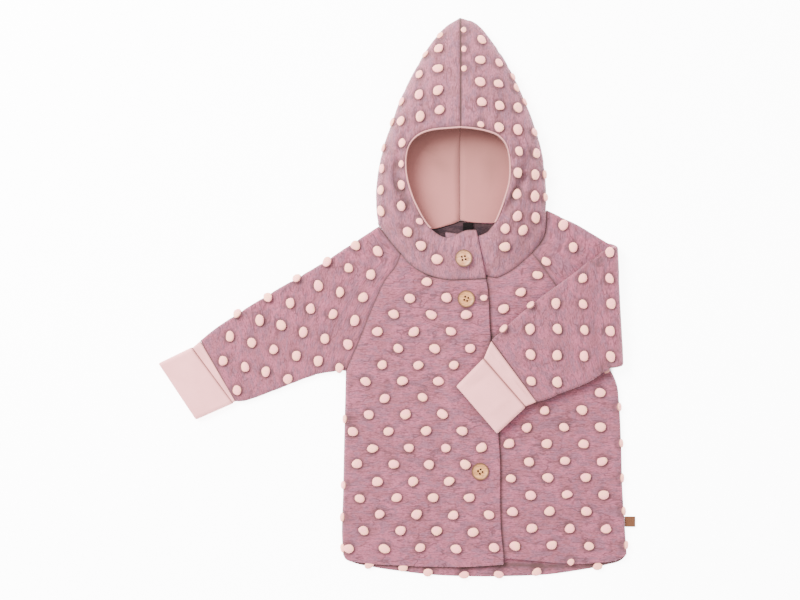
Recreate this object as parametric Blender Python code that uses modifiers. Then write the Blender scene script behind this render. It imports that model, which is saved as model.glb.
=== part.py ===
"""A child's hooded coat of bobbled boiled wool, laid flat on its back with its front up.

Sizes are millimetres and become metres as each mesh is made. +X is the viewer's right (the
coat's own left), +Y runs from the hem to the tip of the hood, +Z is up off the surface.
The garment's own zero lies on the hood's centre seam, level with the front hem; an empty at
the end moves the whole coat so that the middle of its footprint is the origin.

Each piece of cloth is a wall: a surface worked out from a short table of rays or rings, with
felt bobbles raised in its outer points over a plain inside. Pieces that are sewn together
share one seam line and stop short of it on either side.
"""
import math
import random

import bmesh
import bpy
from mathutils import Matrix, Vector
from mathutils.geometry import delaunay_2d_cdt

MM = 0.001

# ---------------------------------------------------------------- driving sizes, millimetres
WOOL = 2.5              # thickness of the boiled wool
JERSEY = 1.1            # thickness of the lining
SEAM_PULL = 0.2         # each piece stops this far short of a shared seam
REST_GAP = 0.3          # a piece lies this far above the one beneath it
LAID = 7.0              # height of two layers of wool with the air between them
HEM_DIP = 1.6           # the front hem sinks this far towards the back panel
HEM_DIP_REACH = 22.0
LAP = 46.0              # how far one front laps over the other
LAP_RISE = 3.1          # the upper front climbs this far over the lower one
LAP_SLOPE = 15.0
NECK_EASE = 1.2         # the back panel's neck stays this far below the turned hood
GRID = 16.0             # spacing of the plain points on a panel
PLAIN_GRID = 24.0       # and on its inside
ROLL_STEPS = 5          # parts of an edge that crosses the roll at a side seam
BUTTON_ACROSS = 19.0
BUTTON_THICK = 3.6
HOLE_ACROSS = 1.7
HOLE_SPREAD = 1.75      # each hole's distance from the button's middle, along X and Y

BOBBLE_LONG = 6.2       # half length of a felt bobble
BOBBLE_SHORT = 5.3      # half width
BOBBLE_HIGH = 3.0
BOBBLE_SIDES = 6
BOBBLE_SHOULDER = 0.74  # the shoulder ring's share of the foot ring
BOBBLE_CLEAR = 1.3      # bare cloth kept between a bobble's foot and an edge
BOBBLE_APART = 13.4     # least distance between two bobbles' middles

# ---------------------------------------------------------------- seams, (x, y) along each
NECK_RIGHT = [(-89.0, 375.0), (-77.0, 358.6), (-64.9, 344.3), (-52.8, 331.1), (-35.2, 321.2),
              (-14.3, 315.7), (7.7, 315.9), (28.6, 316.8)]
NECK_LEFT = [(92.4, 363.0), (79.2, 345.4), (70.4, 337.0), (57.0, 326.0), (40.0, 318.2),
             (24.0, 315.7), (5.5, 315.7), (-15.4, 315.7)]
RAGLAN_RIGHT = [(-64.9, 344.3), (-71.0, 330.0), (-81.4, 316.8), (-92.4, 294.2),
                (-102.3, 270.6), (-113.3, 243.1), (-125.8, 215.6)]
RAGLAN_LEFT = [(79.2, 345.4), (90.2, 331.1), (101.2, 315.7), (120.0, 288.2), (137.5, 261.0),
               (149.0, 242.0), (159.0, 226.0)]
HOOD_SIDE_LEFT = [(95.2, 392.7), (94.8, 380.0)]   # the sleeve's head beside the hood
SIDE_RIGHT = [(-125.8, 215.6), (-126.5, 183.7), (-127.6, 139.7), (-128.7, 84.7),
              (-129.8, 29.7), (-128.7, 13.5)]
SIDE_LEFT = [(159.0, 226.0), (169.5, 209.5), (173.0, 200.0), (175.0, 183.7), (177.4, 139.7),
             (179.0, 84.7), (181.8, 40.7), (183.7, 13.5)]
HEM_RIGHT = [(-125.0, 8.2), (-110.0, 5.0), (-62.7, 1.3), (-20.9, 0.0), (-14.5, 0.1),
             (-7.0, 0.3), (0.5, 0.5), (14.0, 0.9), (46.5, 2.6)]
HEM_LEFT = [(3.0, 1.0), (48.4, 2.6), (85.8, 1.1), (128.7, 0.4), (150.7, 2.6), (177.0, 8.8)]
BACK_HEM = [(-126.5, 8.8), (-118.0, 4.6), (-95.2, -0.6), (-64.0, -5.2), (-34.1, -8.8),
            (0.0, -10.6), (30.8, -11.0), (62.0, -10.4), (95.7, -8.8), (128.0, -4.4),
            (158.0, 1.2), (180.0, 9.0)]
LAP_EDGE = [(28.6, 316.8), (30.8, 302.5), (32.5, 267.3), (34.8, 240.0), (38.5, 194.7),
            (41.8, 149.6), (43.8, 118.8), (44.0, 75.9), (44.8, 42.9), (47.6, 10.0)]

# ---------------------------------------------------------------- the hood, a row for each ray
# A ray starts on the brim, climbs over the crown to the rim, turns under and ends on the
# back's centre seam. From the shoulder on, the rim is the front neck seam and nothing turns.
# brim x, y, height | rim x, y, height | y where it ends beneath | how far in the crease lies,
# and its depth
HOOD_RIGHT_RAYS = [
    (0.0, 481.8, 31.0, 0.0, 604.5, 3.6, 597.0, 12.0, 0.0),
    (-14.3, 480.7, 31.0, -17.5, 593.0, 4.5, 585.0, 12.0, 0.0),
    (-29.7, 479.2, 31.0, -34.0, 573.0, 5.5, 563.0, 12.0, 0.4),
    (-42.9, 475.2, 30.5, -49.5, 547.0, 6.0, 536.0, 12.0, 1.2),
    (-52.8, 467.5, 30.0, -63.0, 520.0, 6.0, 508.0, 12.0, 2.2),
    (-58.3, 456.5, 29.5, -74.5, 490.0, 6.0, 481.0, 12.0, 2.8),
    (-60.0, 442.2, 29.0, -84.5, 461.0, 6.0, 455.0, 10.0, 3.0),
    (-58.3, 425.7, 28.0, -90.5, 431.2, 6.0, 428.0, 11.0, 3.2),
    (-52.8, 407.0, 26.0, -92.5, 406.5, 6.0, 404.0, 10.0, 3.0),
    (-46.2, 392.7, 24.0, -91.5, 388.5, 5.5, 381.0, 9.0, 2.2),
    (-40.7, 382.8, 22.0, -90.2, 380.5, 4.5, 373.0, 9.0, 1.2),
    (-35.2, 375.1, 20.5, -89.0, 375.0, 3.6, 367.0, 9.0, 0.6),
    (-29.7, 369.6, 19.5, -77.0, 358.6, 5.6, 0.0, 9.0, 0.0),
    (-24.2, 365.6, 18.5, -64.9, 344.3, 6.0, 0.0, 9.0, 0.0),
    (-18.7, 363.0, 17.8, -52.8, 331.1, 6.4, 0.0, 9.0, 0.0),
    (-13.0, 362.4, 17.2, -35.2, 321.2, 8.0, 0.0, 9.0, 0.0),
    (-6.6, 364.6, 16.8, -14.3, 315.7, 9.4, 0.0, 9.0, 0.0),
    (6.0, 370.0, 16.6, 7.7, 315.9, 9.4, 0.0, 9.0, 0.0),
    (17.6, 370.6, 16.2, 28.6, 316.8, 9.4, 0.0, 9.0, 0.0)]
HOOD_LEFT_RAYS = [
    (0.0, 481.8, 31.0, 0.0, 604.5, 3.6, 597.0, 12.0, 0.0),
    (14.3, 480.4, 31.0, 19.6, 596.5, 4.5, 586.0, 12.0, 0.0),
    (27.5, 477.9, 31.0, 38.4, 573.5, 5.5, 563.0, 12.0, 0.0),
    (40.2, 473.2, 30.5, 54.5, 548.0, 6.0, 536.0, 14.0, 0.6),
    (49.0, 464.0, 30.0, 67.6, 520.5, 6.0, 508.0, 18.0, 1.6),
    (52.8, 452.0, 29.5, 80.0, 490.0, 6.0, 481.0, 20.0, 2.4),
    (54.0, 438.9, 29.0, 88.8, 461.5, 6.0, 455.0, 19.0, 3.0),
    (53.2, 422.4, 28.0, 93.6, 431.5, 6.0, 428.0, 15.0, 3.2),
    (48.4, 404.8, 26.0, 95.0, 406.5, 6.0, 404.0, 10.0, 3.0),
    (42.4, 388.0, 24.0, 94.8, 392.0, 5.5, 381.0, 8.0, 2.0),
    (38.0, 378.6, 22.0, 94.8, 380.0, 4.5, 370.0, 8.0, 1.0),
    (33.0, 372.2, 20.5, 92.4, 363.0, 3.6, 360.0, 9.0, 0.4),
    (30.0, 368.6, 19.0, 79.2, 345.4, 5.8, 0.0, 9.0, 0.0),
    (26.6, 366.6, 17.6, 70.4, 337.0, 6.0, 0.0, 9.0, 0.0),
    (22.6, 365.0, 16.0, 57.0, 326.0, 6.0, 0.0, 9.0, 0.0),
    (18.2, 364.2, 13.6, 40.0, 318.2, 5.8, 0.0, 9.0, 0.0),
    (12.0, 364.2, 11.4, 23.4, 321.5, 5.0, 0.0, 9.0, 0.0),
    (0.0, 366.2, 10.8, 4.5, 322.5, 5.0, 0.0, 9.0, 0.0),
    (-16.0, 368.2, 10.6, -14.4, 322.5, 5.0, 0.0, 9.0, 0.0)]
SHOULDER_RAY = 11.0     # the ray that reaches the shoulder, where the turning under ends
NECK_RAY = 9.0          # the ray that reaches the middle of the back neck
RAY_STEP = 13.0         # breadth given to the space between two rays
CROWN_RUN = 90.0        # length given to the crown, from brim to rim
TURN_RUN = 9.0          # to the turn at the rim
UNDER_RUN = 72.0        # and to what lies beneath
CROWN_POWER = 2.1       # how square the crown's arch is
BRIM_TUCK = 1.6         # the brim turns down this far
BRIM_TUCK_REACH = 3.5
CREASE_BREADTH = 4.5

# the lining's own bag, a row for each ray: how far it reaches past the brim, and the y on the
# hood's centre seam that its floor runs to
LINING_ROWS = [(44.0, 479.0), (40.0, 473.0), (34.0, 466.0), (27.0, 458.0), (21.0, 450.0),
               (15.5, 441.0), (13.0, 430.0), (16.0, 418.0), (22.0, 402.0), (27.0, 381.0),
               (28.0, 370.0), (28.0, 360.0), (28.0, 350.0)]
LINING_POWER = 2.5
LINING_DROP = 3.4       # it falls straight down the brim's edge before it spreads
LINING_FLOOR = 2.9      # and lies on the hood's back at this height
LINING_PIPE = 0.7       # its edge stands this far below the brim's

# ---------------------------------------------------------------- sleeves, a row for each ring
# upper edge x, y | lower edge x, y | height of the middle | how far turned over, degrees |
# how much of the seam's bow is left
EDGE_ROLL = LAID / 2.0
RIGHT_SLEEVE_RINGS = [
    (-89.0, 375.0, -125.8, 215.6, EDGE_ROLL, 0.0, 1.0),
    (-119.0, 355.5, -146.0, 214.0, EDGE_ROLL, 0.0, 0.35),
    (-152.0, 334.2, -166.0, 208.6, EDGE_ROLL, 0.0, 0.05),
    (-188.0, 313.0, -188.0, 200.2, EDGE_ROLL, 0.0, 0.0),
    (-217.0, 296.0, -207.0, 193.2, EDGE_ROLL, 0.0, 0.0),
    (-250.0, 275.6, -227.0, 185.6, EDGE_ROLL, 0.0, 0.0),
    (-276.0, 257.6, -240.0, 182.2, EDGE_ROLL, 0.0, 0.0),
    (-285.5, 249.2, -247.1, 182.1, EDGE_ROLL, 0.0, 0.0)]
FOLD_HEIGHT = 9.3       # height of the line that the left sleeve is folded about
FOLD_TOP = (163.8, 356.5)
FOLD_FOOT = (170.0, 222.8)
FOLD_DROP = 6.0         # the upper edge falls this far as it goes round the fold
FOLD_STEPS = 5
UPPER_ARM_RINGS = [
    (95.2, 392.7, 159.0, 226.0, EDGE_ROLL, 0.0, 1.0),
    (128.0, 377.0, 164.6, 225.2, EDGE_ROLL, 0.0, 0.3)]
FOREARM_RINGS = [
    (121.0, 320.6, 139.5, 203.4),
    (77.0, 288.2, 110.5, 191.6),
    (48.0, 262.6, 91.0, 184.0),
    (34.1, 249.7, 83.6, 182.2)]
# where the edges of a ring fall in its run around the sleeve: half the underarm edge, the
# under layer, the shoulder edge, the upper layer, the other half of the underarm edge
RING_BREAKS = (0.0, 0.03, 0.47, 0.53, 0.97, 1.0)
RING_RUN = 250.0        # length given to one turn around a sleeve

# ---------------------------------------------------------------- cuffs
# place between the cuff's lines (0 seam, 1 turned-back edge, 2 free end) | underside | top |
# how far each edge stands out; down the outside, round the end and back inside to the seam
CUFF_SKIN = [(0.05, 1.7, 6.4, 0.0), (0.5, 1.7, 6.8, 0.0), (0.97, 1.7, 7.0, 0.0),
             (1.0, 0.1, 8.6, 0.8), (1.06, 0.0, 8.9, 1.0), (1.5, 0.0, 9.0, 1.0),
             (1.93, 0.0, 8.9, 1.0), (1.985, 0.6, 8.2, 0.8), (2.0, 1.9, 6.9, 0.2),
             (1.97, 3.1, 5.7, -1.6), (1.5, 2.9, 5.9, -1.4), (0.95, 2.9, 5.8, -1.3),
             (0.05, 2.9, 5.4, -1.2)]
# seam | turned-back edge | free end, each from its upper corner to its lower one
CUFF_RIGHT_LINES = [((-285.5, 248.9), (-247.1, 182.1)), ((-294.8, 240.9), (-249.9, 180.8)),
                    ((-331.1, 223.3), (-290.8, 162.8))]
CUFF_LEFT_LINES = [((34.1, 249.2), (83.6, 182.2)), ((25.3, 228.6), (70.6, 177.0)),
                   ((-3.9, 198.6), (39.6, 148.1))]

# ---------------------------------------------------------------- bobble rows
# the felt bobbles lie in a net: a first one, the step to the next in its row, and the step to
# the next row; pieces cut in another direction carry their own net
BOBBLE_NETS = {
    "body_right": ((-117.7, 149.6), (39.9, 0.0), (22.0, -18.3)),
    "body_left": ((73.7, 154.0), (40.6, 0.0), (21.2, -18.6)),
    "sleeve_right": ((-90.2, 347.6), (-32.4, -18.9), (-8.4, -25.6)),
    "upper_arm_left": ((124.0, 351.7), (29.7, 15.9), (10.0, -23.7)),
    "forearm_left": ((134.2, 289.3), (29.2, -0.6), (0.2, -28.4)),
    "crown_right": ((-24.0, 545.0), (-20.5, -5.5), (0.0, -23.0)),
    "crown_left": ((21.8, 554.4), (19.9, -2.6), (0.0, -23.4)),
    "collar_right": ((-42.0, 353.0), (38.0, -7.0), (16.0, -15.4)),
    "collar_left": ((69.0, 370.0), (-19.8, -18.0), (0.0, -19.8)),
}
NET_REACH = 24          # steps taken each way from the first bobble
BOBBLE_DRIFT = 0.9      # how far a bobble strays from its net
EDGE_CATCH = 3.2        # a bobble this far past an edge sits on the turn of the cloth
HOOD_TURN_PITCH = 23.0  # bobbles down the turn of the hood

BUTTONS = {"button_top": (3.6, 339.5), "button_middle": (6.6, 295.0),
           "button_bottom": (22.0, 105.6)}
LABEL_PLACE = (181.95, 49.6)    # its inner end is 0.3 mm from the side seam
LABEL_SIZE = (11.25, 11.6, 1.4)
LOOP_PLACE = (8.6, 373.2)
LOOP_SIZE = (10.6, 10.8, 1.0)

COLOURS = {
    "wool": (0.52, 0.29, 0.34, 0.95), "jersey": (0.80, 0.58, 0.56, 0.85),
    "lining": (0.68, 0.42, 0.40, 0.85), "tape": (0.02, 0.015, 0.015, 0.7),
    "shell": (0.78, 0.55, 0.35, 0.4), "tab": (0.38, 0.21, 0.12, 0.6)}


# ---------------------------------------------------------------- small geometry helpers
def mix(a, b, t):
    return a + (b - a) * t


def ease(t):
    t = min(1.0, max(0.0, t))
    return t * t * (3.0 - 2.0 * t)


def row_at(rows, position):
    """The table's row at a position between two rows."""
    first = min(max(int(position), 0), len(rows) - 2)
    return [mix(a, b, position - first) for a, b in zip(rows[first], rows[first + 1])]


def place_along(line, share):
    """The point at a share of a line's whole length."""
    lengths = [math.dist(a, b) for a, b in zip(line, line[1:])]
    left = share * sum(lengths)
    for a, b, length in zip(line, line[1:], lengths):
        if left <= length:
            return (mix(a[0], b[0], left / length), mix(a[1], b[1], left / length))
        left -= length
    return line[-1]


def x_on(line, y):
    """Where a line that runs down the coat is at height y."""
    y = min(y, line[0][1])
    for (x0, y0), (x1, y1) in zip(line, line[1:]):
        if y >= y1:
            return mix(x0, x1, (y - y0) / (y1 - y0))
    return line[-1][0]


def inside(shape, x, y):
    """Whether a point is inside a closed outline."""
    hit = False
    for (x0, y0), (x1, y1) in zip(shape, shape[1:] + shape[:1]):
        if (y0 > y) != (y1 > y) and x < mix(x0, x1, (y - y0) / (y1 - y0)):
            hit = not hit
    return hit


def pulled_in(shape, distance):
    """A closed outline moved inwards by a distance."""
    twice_area = sum(a[0] * b[1] - b[0] * a[1] for a, b in zip(shape, shape[1:] + shape[:1]))
    turn = 1.0 if twice_area > 0 else -1.0
    moved = []
    for before, here, after in zip(shape[-1:] + shape[:-1], shape, shape[1:] + shape[:1]):
        one = (Vector(here) - Vector(before)).normalized()
        two = (Vector(after) - Vector(here)).normalized()
        inward = Vector((-one.y - two.y, one.x + two.x)) * turn
        reach = distance / max(0.35, inward.length / 2.0)
        moved.append(tuple(Vector(here) + inward.normalized() * reach))
    return moved


# ---------------------------------------------------------------- surfaces
class FrontSurface:
    """A front panel: flat, rising over the lap, sinking at the hem, rolled down at its side."""

    def __init__(self, side_line, side, laps_over):
        self.side_line = side_line
        self.side = side            # -1 where the side seam is at the viewer's left
        self.laps_over = laps_over
        self.foot = WOOL + REST_GAP
        self.roll = LAID - self.foot

    def top(self, x, y):
        rise = 0.0
        if self.laps_over:
            under_edge = x_on(LAP_EDGE, y) - LAP
            rise = LAP_RISE * ease((x - under_edge + LAP_SLOPE + 2.0) / LAP_SLOPE)
        return LAID + rise - HEM_DIP * ease(1.0 - y / HEM_DIP_REACH)

    def at(self, u, v):
        edge = x_on(self.side_line, v)
        into = (edge - u) * self.side
        if into >= self.roll:
            return Vector((u, v, self.top(u, v)))
        turned = (self.roll - into) / self.roll
        x = edge - self.side * self.roll * (1.0 - math.sin(turned))
        top = self.top(x, v)
        return Vector((x, v, self.foot + (top - self.foot) * math.cos(turned)))

    def unrolled(self, x, y):
        """The panel's own (u, v) for a point seen from above."""
        edge = x_on(self.side_line, y)
        into = (edge - x) * self.side
        if into >= self.roll:
            return (x, y)
        if into < 0.7:
            into = 0.0
        turned = math.asin(1.0 - into / self.roll)
        return (edge - self.side * self.roll * (1.0 - turned), y)

    def columns(self, y, spacing):
        """The u of each column of plain points at height y, from the side seam inwards."""
        edge = x_on(self.side_line, y)
        turns = [self.roll * (1.0 - turned * math.pi / 2.0) for turned in (0.67, 0.33, 0.0)]
        flats = [self.roll + spacing * step for step in range(1, 24)]
        columns = [edge - self.side * into for into in turns + flats]
        if self.laps_over:
            foot = x_on(LAP_EDGE, y) - LAP - LAP_SLOPE - 2.0
            slope = [foot + LAP_SLOPE * share for share in (0.0, 0.5, 1.0)]
            columns = [u for u in columns if abs(u - slope[1]) > LAP_SLOPE * 0.8] + slope
        return columns


class TubeSurface:
    """A sleeve: a flattened ring at every station, turned over where the sleeve is folded."""

    def __init__(self, rings, seam):
        self.rings = rings
        self.seam = seam
        middles = [Vector(((r[0] + r[2]) / 2, (r[1] + r[3]) / 2, r[4])) for r in rings]
        self.stations = [0.0]
        for a, b in zip(middles, middles[1:]):
            self.stations.append(self.stations[-1] + (b - a).length)
        self.length = self.stations[-1]

    def ring_position(self, v):
        for index, (a, b) in enumerate(zip(self.stations, self.stations[1:])):
            if v <= b:
                return index + (v - a) / (b - a)
        return len(self.rings) - 1.0

    def at(self, u, v):
        ring = row_at(self.rings, self.ring_position(v))
        upper, lower = Vector(ring[0:2]), Vector(ring[2:4])
        middle, turned, bow = ring[4], math.radians(ring[5]), ring[6]
        width = (lower - upper).length
        across, above = ring_section(u / RING_RUN, width)
        share = across / width
        plan = upper + (lower - upper) * share
        if bow > 0.0:
            straight = Vector(self.seam[0]).lerp(Vector(self.seam[-1]), share)
            plan += (Vector(place_along(self.seam, min(1.0, max(0.0, share)))) - straight) * bow
        return Vector((plan.x - math.sin(turned) * above, plan.y,
                       middle + math.cos(turned) * above))


def ring_section(turn, width):
    """Distance across a flattened ring and height above its middle, at a share of its run."""
    breaks, roll = RING_BREAKS, EDGE_ROLL
    part = 0
    while part < 4 and turn > breaks[part + 1]:
        part += 1
    share = (turn - breaks[part]) / (breaks[part + 1] - breaks[part])
    if part == 0:
        angle = math.pi / 2 * (1.0 + share)
        return width - roll + roll * math.sin(angle), roll * math.cos(angle)
    if part == 1:
        return mix(width - roll, roll, share), -roll
    if part == 2:
        angle = math.pi * share
        return roll - roll * math.sin(angle), -roll * math.cos(angle)
    if part == 3:
        return mix(roll, width - roll, share), roll
    angle = math.pi / 2 * share
    return width - roll + roll * math.sin(angle), roll * math.cos(angle)


class HoodSurface:
    """One half of the hood, with its part of the collar, over a fan of rays from the brim."""

    def __init__(self, rays):
        self.rays = rays

    def crown_height(self, ray, t):
        brim_height, rim_height, crease_in, crease_deep = ray[2], ray[5], ray[7], ray[8]
        run = math.dist(ray[0:2], ray[3:5]) * t
        arch = (1.0 - min(t, 1.0) ** CROWN_POWER) ** (1.0 / CROWN_POWER)
        height = rim_height + (brim_height - rim_height) * arch
        height -= BRIM_TUCK * math.exp(-run / BRIM_TUCK_REACH) * arch
        return height - crease_deep * math.exp(-((run - crease_in) / CREASE_BREADTH) ** 2) * arch

    def at(self, u, v):
        ray = row_at(self.rays, u / RAY_STEP)
        brim, rim = Vector(ray[0:2]), Vector(ray[3:5])
        outward = (rim - brim).normalized()
        rim -= outward * SEAM_PULL
        if v <= CROWN_RUN:
            t = max(0.0, v / CROWN_RUN)
            plan = brim.lerp(rim, t)
            return Vector((plan.x, plan.y, self.crown_height(ray, t)))
        turn_radius = ray[5]
        if v <= CROWN_RUN + TURN_RUN:
            angle = (v - CROWN_RUN) / TURN_RUN * math.pi / 2
            plan = rim - outward * turn_radius * (1.0 - math.cos(angle))
            return Vector((plan.x, plan.y, turn_radius * (1.0 - math.sin(angle))))
        share = (v - CROWN_RUN - TURN_RUN) / UNDER_RUN
        start = rim - outward * turn_radius
        plan = start.lerp(Vector((0.0, ray[6])), share)
        return Vector((plan.x, plan.y, 0.0))


class LiningSurface:
    """The jersey bag inside one half of the hood, sewn to its brim and lying on its back."""

    drop_run = 6.0
    bag_run = 70.0
    floor_run = 60.0

    def __init__(self, hood):
        self.hood = hood

    def at(self, u, v):
        position = u / RAY_STEP
        ray = row_at(self.hood.rays, position)
        reach, floor_end = row_at(LINING_ROWS, position)
        brim = Vector(ray[0:2])
        outward = (Vector(ray[3:5]) - brim).normalized()
        edge = brim - outward * SEAM_PULL * 2
        top = ray[2] - BRIM_TUCK - LINING_PIPE
        if v <= self.drop_run:
            return Vector((edge.x, edge.y, top - LINING_DROP * max(0.0, v) / self.drop_run))
        top -= LINING_DROP
        if v <= self.drop_run + self.bag_run:
            angle = (v - self.drop_run) / self.bag_run * math.pi
            out = abs(math.sin(angle)) ** (2.0 / LINING_POWER) * reach
            half = (top - LINING_FLOOR) / 2.0
            lift = math.copysign(abs(math.cos(angle)) ** (2.0 / LINING_POWER), math.cos(angle))
            plan = edge + outward * out
            return Vector((plan.x, plan.y, LINING_FLOOR + half * (1.0 + lift)))
        share = (v - self.drop_run - self.bag_run) / self.floor_run
        plan = edge.lerp(Vector((0.0, floor_end)), share)
        return Vector((plan.x, plan.y, LINING_FLOOR))


class FlatSurface:
    """A panel that lies flat, its upper face at one height."""

    def __init__(self, height):
        self.height = height

    def at(self, u, v):
        return Vector((u, v, self.height))


def frame_at(surface, u, v, side):
    """The surface's point there, its two slopes and its outward normal."""
    step = 0.35
    along_u = (surface.at(u + step, v) - surface.at(u - step, v)) / (2 * step)
    along_v = (surface.at(u, v + step) - surface.at(u, v - step)) / (2 * step)
    return surface.at(u, v), along_u, along_v, along_u.cross(along_v).normalized() * side


# ---------------------------------------------------------------- cloth walls with bobbles
class Wall:
    """A wall of cloth over an outline in a surface's own (u, v)."""

    def __init__(self, surface, outline, side=1.0, thickness=WOOL, joined=False):
        self.surface = surface
        self.side = side
        self.thickness = thickness
        self.joined = joined        # a tube, whose first and last u are one line
        self.centre_seam = None     # (sign of x, last u) of the part that stops at x = 0
        area = sum(a[0] * b[1] - b[0] * a[1] for a, b in zip(outline, outline[1:] + outline[:1]))
        self.outline = outline if area > 0 else outline[::-1]
        self.bobbles = []

    def skin(self, u, v, lift=0.0):
        """The surface's point moved out by a lift, and kept on its side of a centre seam."""
        point, _, _, normal = frame_at(self.surface, u, v, self.side)
        if lift:
            point = point + normal * lift
        if self.centre_seam and u <= self.centre_seam[1]:
            sign = self.centre_seam[0]
            point.x = sign * max(point.x * sign, SEAM_PULL)
        return point

    def add_bobble(self, u, v, size):
        """Adds a bobble if its foot is clear of every edge, and smaller if only that fits."""
        for scale in (size, size * 0.72):
            foot = self.bobble_ring(u, v, scale, BOBBLE_CLEAR)
            if all(inside(self.outline, *point) for point in foot):
                place = self.skin(u, v)
                if all((place - self.skin(*other[0:2])).length > BOBBLE_APART
                       for other in self.bobbles):
                    self.bobbles.append((u, v, scale))
                return

    def bobble_ring(self, u, v, scale, extra=0.0):
        """The (u, v) of a ring round a bobble, from its real size and the surface's slopes."""
        _, along_u, along_v, normal = frame_at(self.surface, u, v, self.side)
        long_way = along_u.normalized()
        short_way = normal.cross(long_way)
        uu, uv, vv = along_u.dot(along_u), along_u.dot(along_v), along_v.dot(along_v)
        spread = uu * vv - uv * uv
        ring = []
        for side in range(BOBBLE_SIDES):
            angle = 2 * math.pi * (side + 0.5) / BOBBLE_SIDES
            reach = long_way * math.cos(angle) * (BOBBLE_LONG * scale + extra)
            reach += short_way * math.sin(angle) * (BOBBLE_SHORT * scale + extra)
            on_u, on_v = reach.dot(along_u), reach.dot(along_v)
            ring.append((u + (on_u * vv - on_v * uv) / spread,
                         v + (on_v * uu - on_u * uv) / spread))
        return ring

    def triangles(self, extra_points, extra_edges):
        """Triangulates the outline with more points and edges inside it."""
        count = len(self.outline)
        points = [Vector(p) for p in self.outline + extra_points]
        found = delaunay_2d_cdt(points, extra_edges, [list(range(count))], 1, 1e-5, True)
        new_points, _, faces, origins = found[0:4]
        if len(new_points) != len(points):
            met = [tuple(new_points[i]) for i, origin in enumerate(origins) if len(origin) != 1]
            raise ValueError(f"points met while a wall was cut into triangles: {met[:6]}")
        first = [origin[0] for origin in origins]
        kept = [face for face in faces
                if inside(self.outline, sum(new_points[i].x for i in face) / 3.0,
                          sum(new_points[i].y for i in face) / 3.0)]
        return [[first[corner] for corner in face] for face in kept]

    def mesh(self, name, plain_outer, plain_inner):
        """Builds the wall as one closed mesh in metres."""
        count = len(self.outline)
        outer = [self.skin(u, v) for u, v in self.outline]
        extras, edges = [], []
        rings = [self.bobble_ring(u, v, scale, BOBBLE_CLEAR) for u, v, scale in self.bobbles]
        for u, v in plain_outer:
            if not any(inside(ring, u, v) for ring in rings):
                extras.append((u, v))
                outer.append(self.skin(u, v))
        for u, v, scale in self.bobbles:
            start = count + len(extras)
            foot = self.bobble_ring(u, v, scale)
            shoulder = self.bobble_ring(u, v, scale * BOBBLE_SHOULDER)
            extras += foot + shoulder + [(u, v)]
            outer += [self.skin(*p) for p in foot]
            outer += [self.skin(*p, BOBBLE_HIGH * scale * 0.72) for p in shoulder]
            outer.append(self.skin(u, v, BOBBLE_HIGH * scale))
            for ring in (start, start + BOBBLE_SIDES):
                edges += [(ring + i, ring + (i + 1) % BOBBLE_SIDES) for i in range(BOBBLE_SIDES)]
        outer_faces = self.triangles(extras, edges)
        inner = [self.skin(u, v, -self.thickness) for u, v in self.outline + plain_inner]
        inner_faces = self.triangles(plain_inner, [])
        return self.closed_mesh(name, outer, outer_faces, inner, inner_faces)

    def closed_mesh(self, name, outer, outer_faces, inner, inner_faces):
        """Joins the outer and inner skins with a rim round the outline."""
        count = len(self.outline)
        twin = self.twins() if self.joined else {}
        form = bmesh.new()
        tops = [None if i in twin else form.verts.new(p * MM) for i, p in enumerate(outer)]
        lows = [None if i in twin else form.verts.new(p * MM) for i, p in enumerate(inner)]
        for index, other in twin.items():
            tops[index] = tops[other]
            lows[index] = lows[other]
        for face in outer_faces:
            form.faces.new([tops[i] for i in face])
        for face in inner_faces:
            form.faces.new([lows[i] for i in reversed(face)])
        ends = self.outline
        for i in range(count):
            j = (i + 1) % count
            if self.joined and ends[i][0] == ends[j][0]:
                continue
            form.faces.new((tops[j], tops[i], lows[i], lows[j]))
        bmesh.ops.recalc_face_normals(form, faces=form.faces)
        mesh = bpy.data.meshes.new(name)
        form.to_mesh(mesh)
        form.free()
        return mesh

    def twins(self):
        """Pairs each outline point at the last u with the one at the first u."""
        lowest = min(u for u, _ in self.outline)
        highest = max(u for u, _ in self.outline)
        first = {round(v, 4): i for i, (u, v) in enumerate(self.outline) if u == lowest}
        return {i: first[round(v, 4)] for i, (u, v) in enumerate(self.outline) if u == highest}


# ---------------------------------------------------------------- bobble nets
def net_points(name, seed):
    """The places of one net's bobbles, seen from above, each strayed a little."""
    first, step, row = BOBBLE_NETS[name]
    chance = random.Random(seed)
    for j in range(-NET_REACH, NET_REACH + 1):
        for i in range(-NET_REACH, NET_REACH + 1):
            # every second row steps back, so the net stays upright
            back = -math.floor(j / 2) if name.startswith("body") else 0
            x = first[0] + step[0] * (i + back) + row[0] * j
            y = first[1] + step[1] * (i + back) + row[1] * j
            stray = (chance.uniform(-1, 1) * BOBBLE_DRIFT, chance.uniform(-1, 1) * BOBBLE_DRIFT)
            yield x + stray[0], y + stray[1], chance.uniform(0.93, 1.06)


def nearest_on(surface, samples, x, y):
    """The (u, v) whose point, seen from above, is nearest to (x, y), and how far off it is."""
    best = min(samples, key=lambda s: (s[2] - x) ** 2 + (s[3] - y) ** 2)
    u, v = best[0], best[1]
    reach = 4.0
    while reach > 0.05:
        moves = [(u + a * reach, v + b * reach) for a in (-1, 0, 1) for b in (-1, 0, 1)]
        moves = [m for m in moves if samples.low[0] <= m[0] <= samples.high[0]
                 and samples.low[1] <= m[1] <= samples.high[1]]
        spots = [(math.dist(surface.at(*m)[0:2], (x, y)), m) for m in moves]
        distance, (new_u, new_v) = min(spots)
        if (new_u, new_v) == (u, v):
            reach /= 2.0
        u, v = new_u, new_v
    return u, v, math.dist(surface.at(u, v)[0:2], (x, y))


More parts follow.
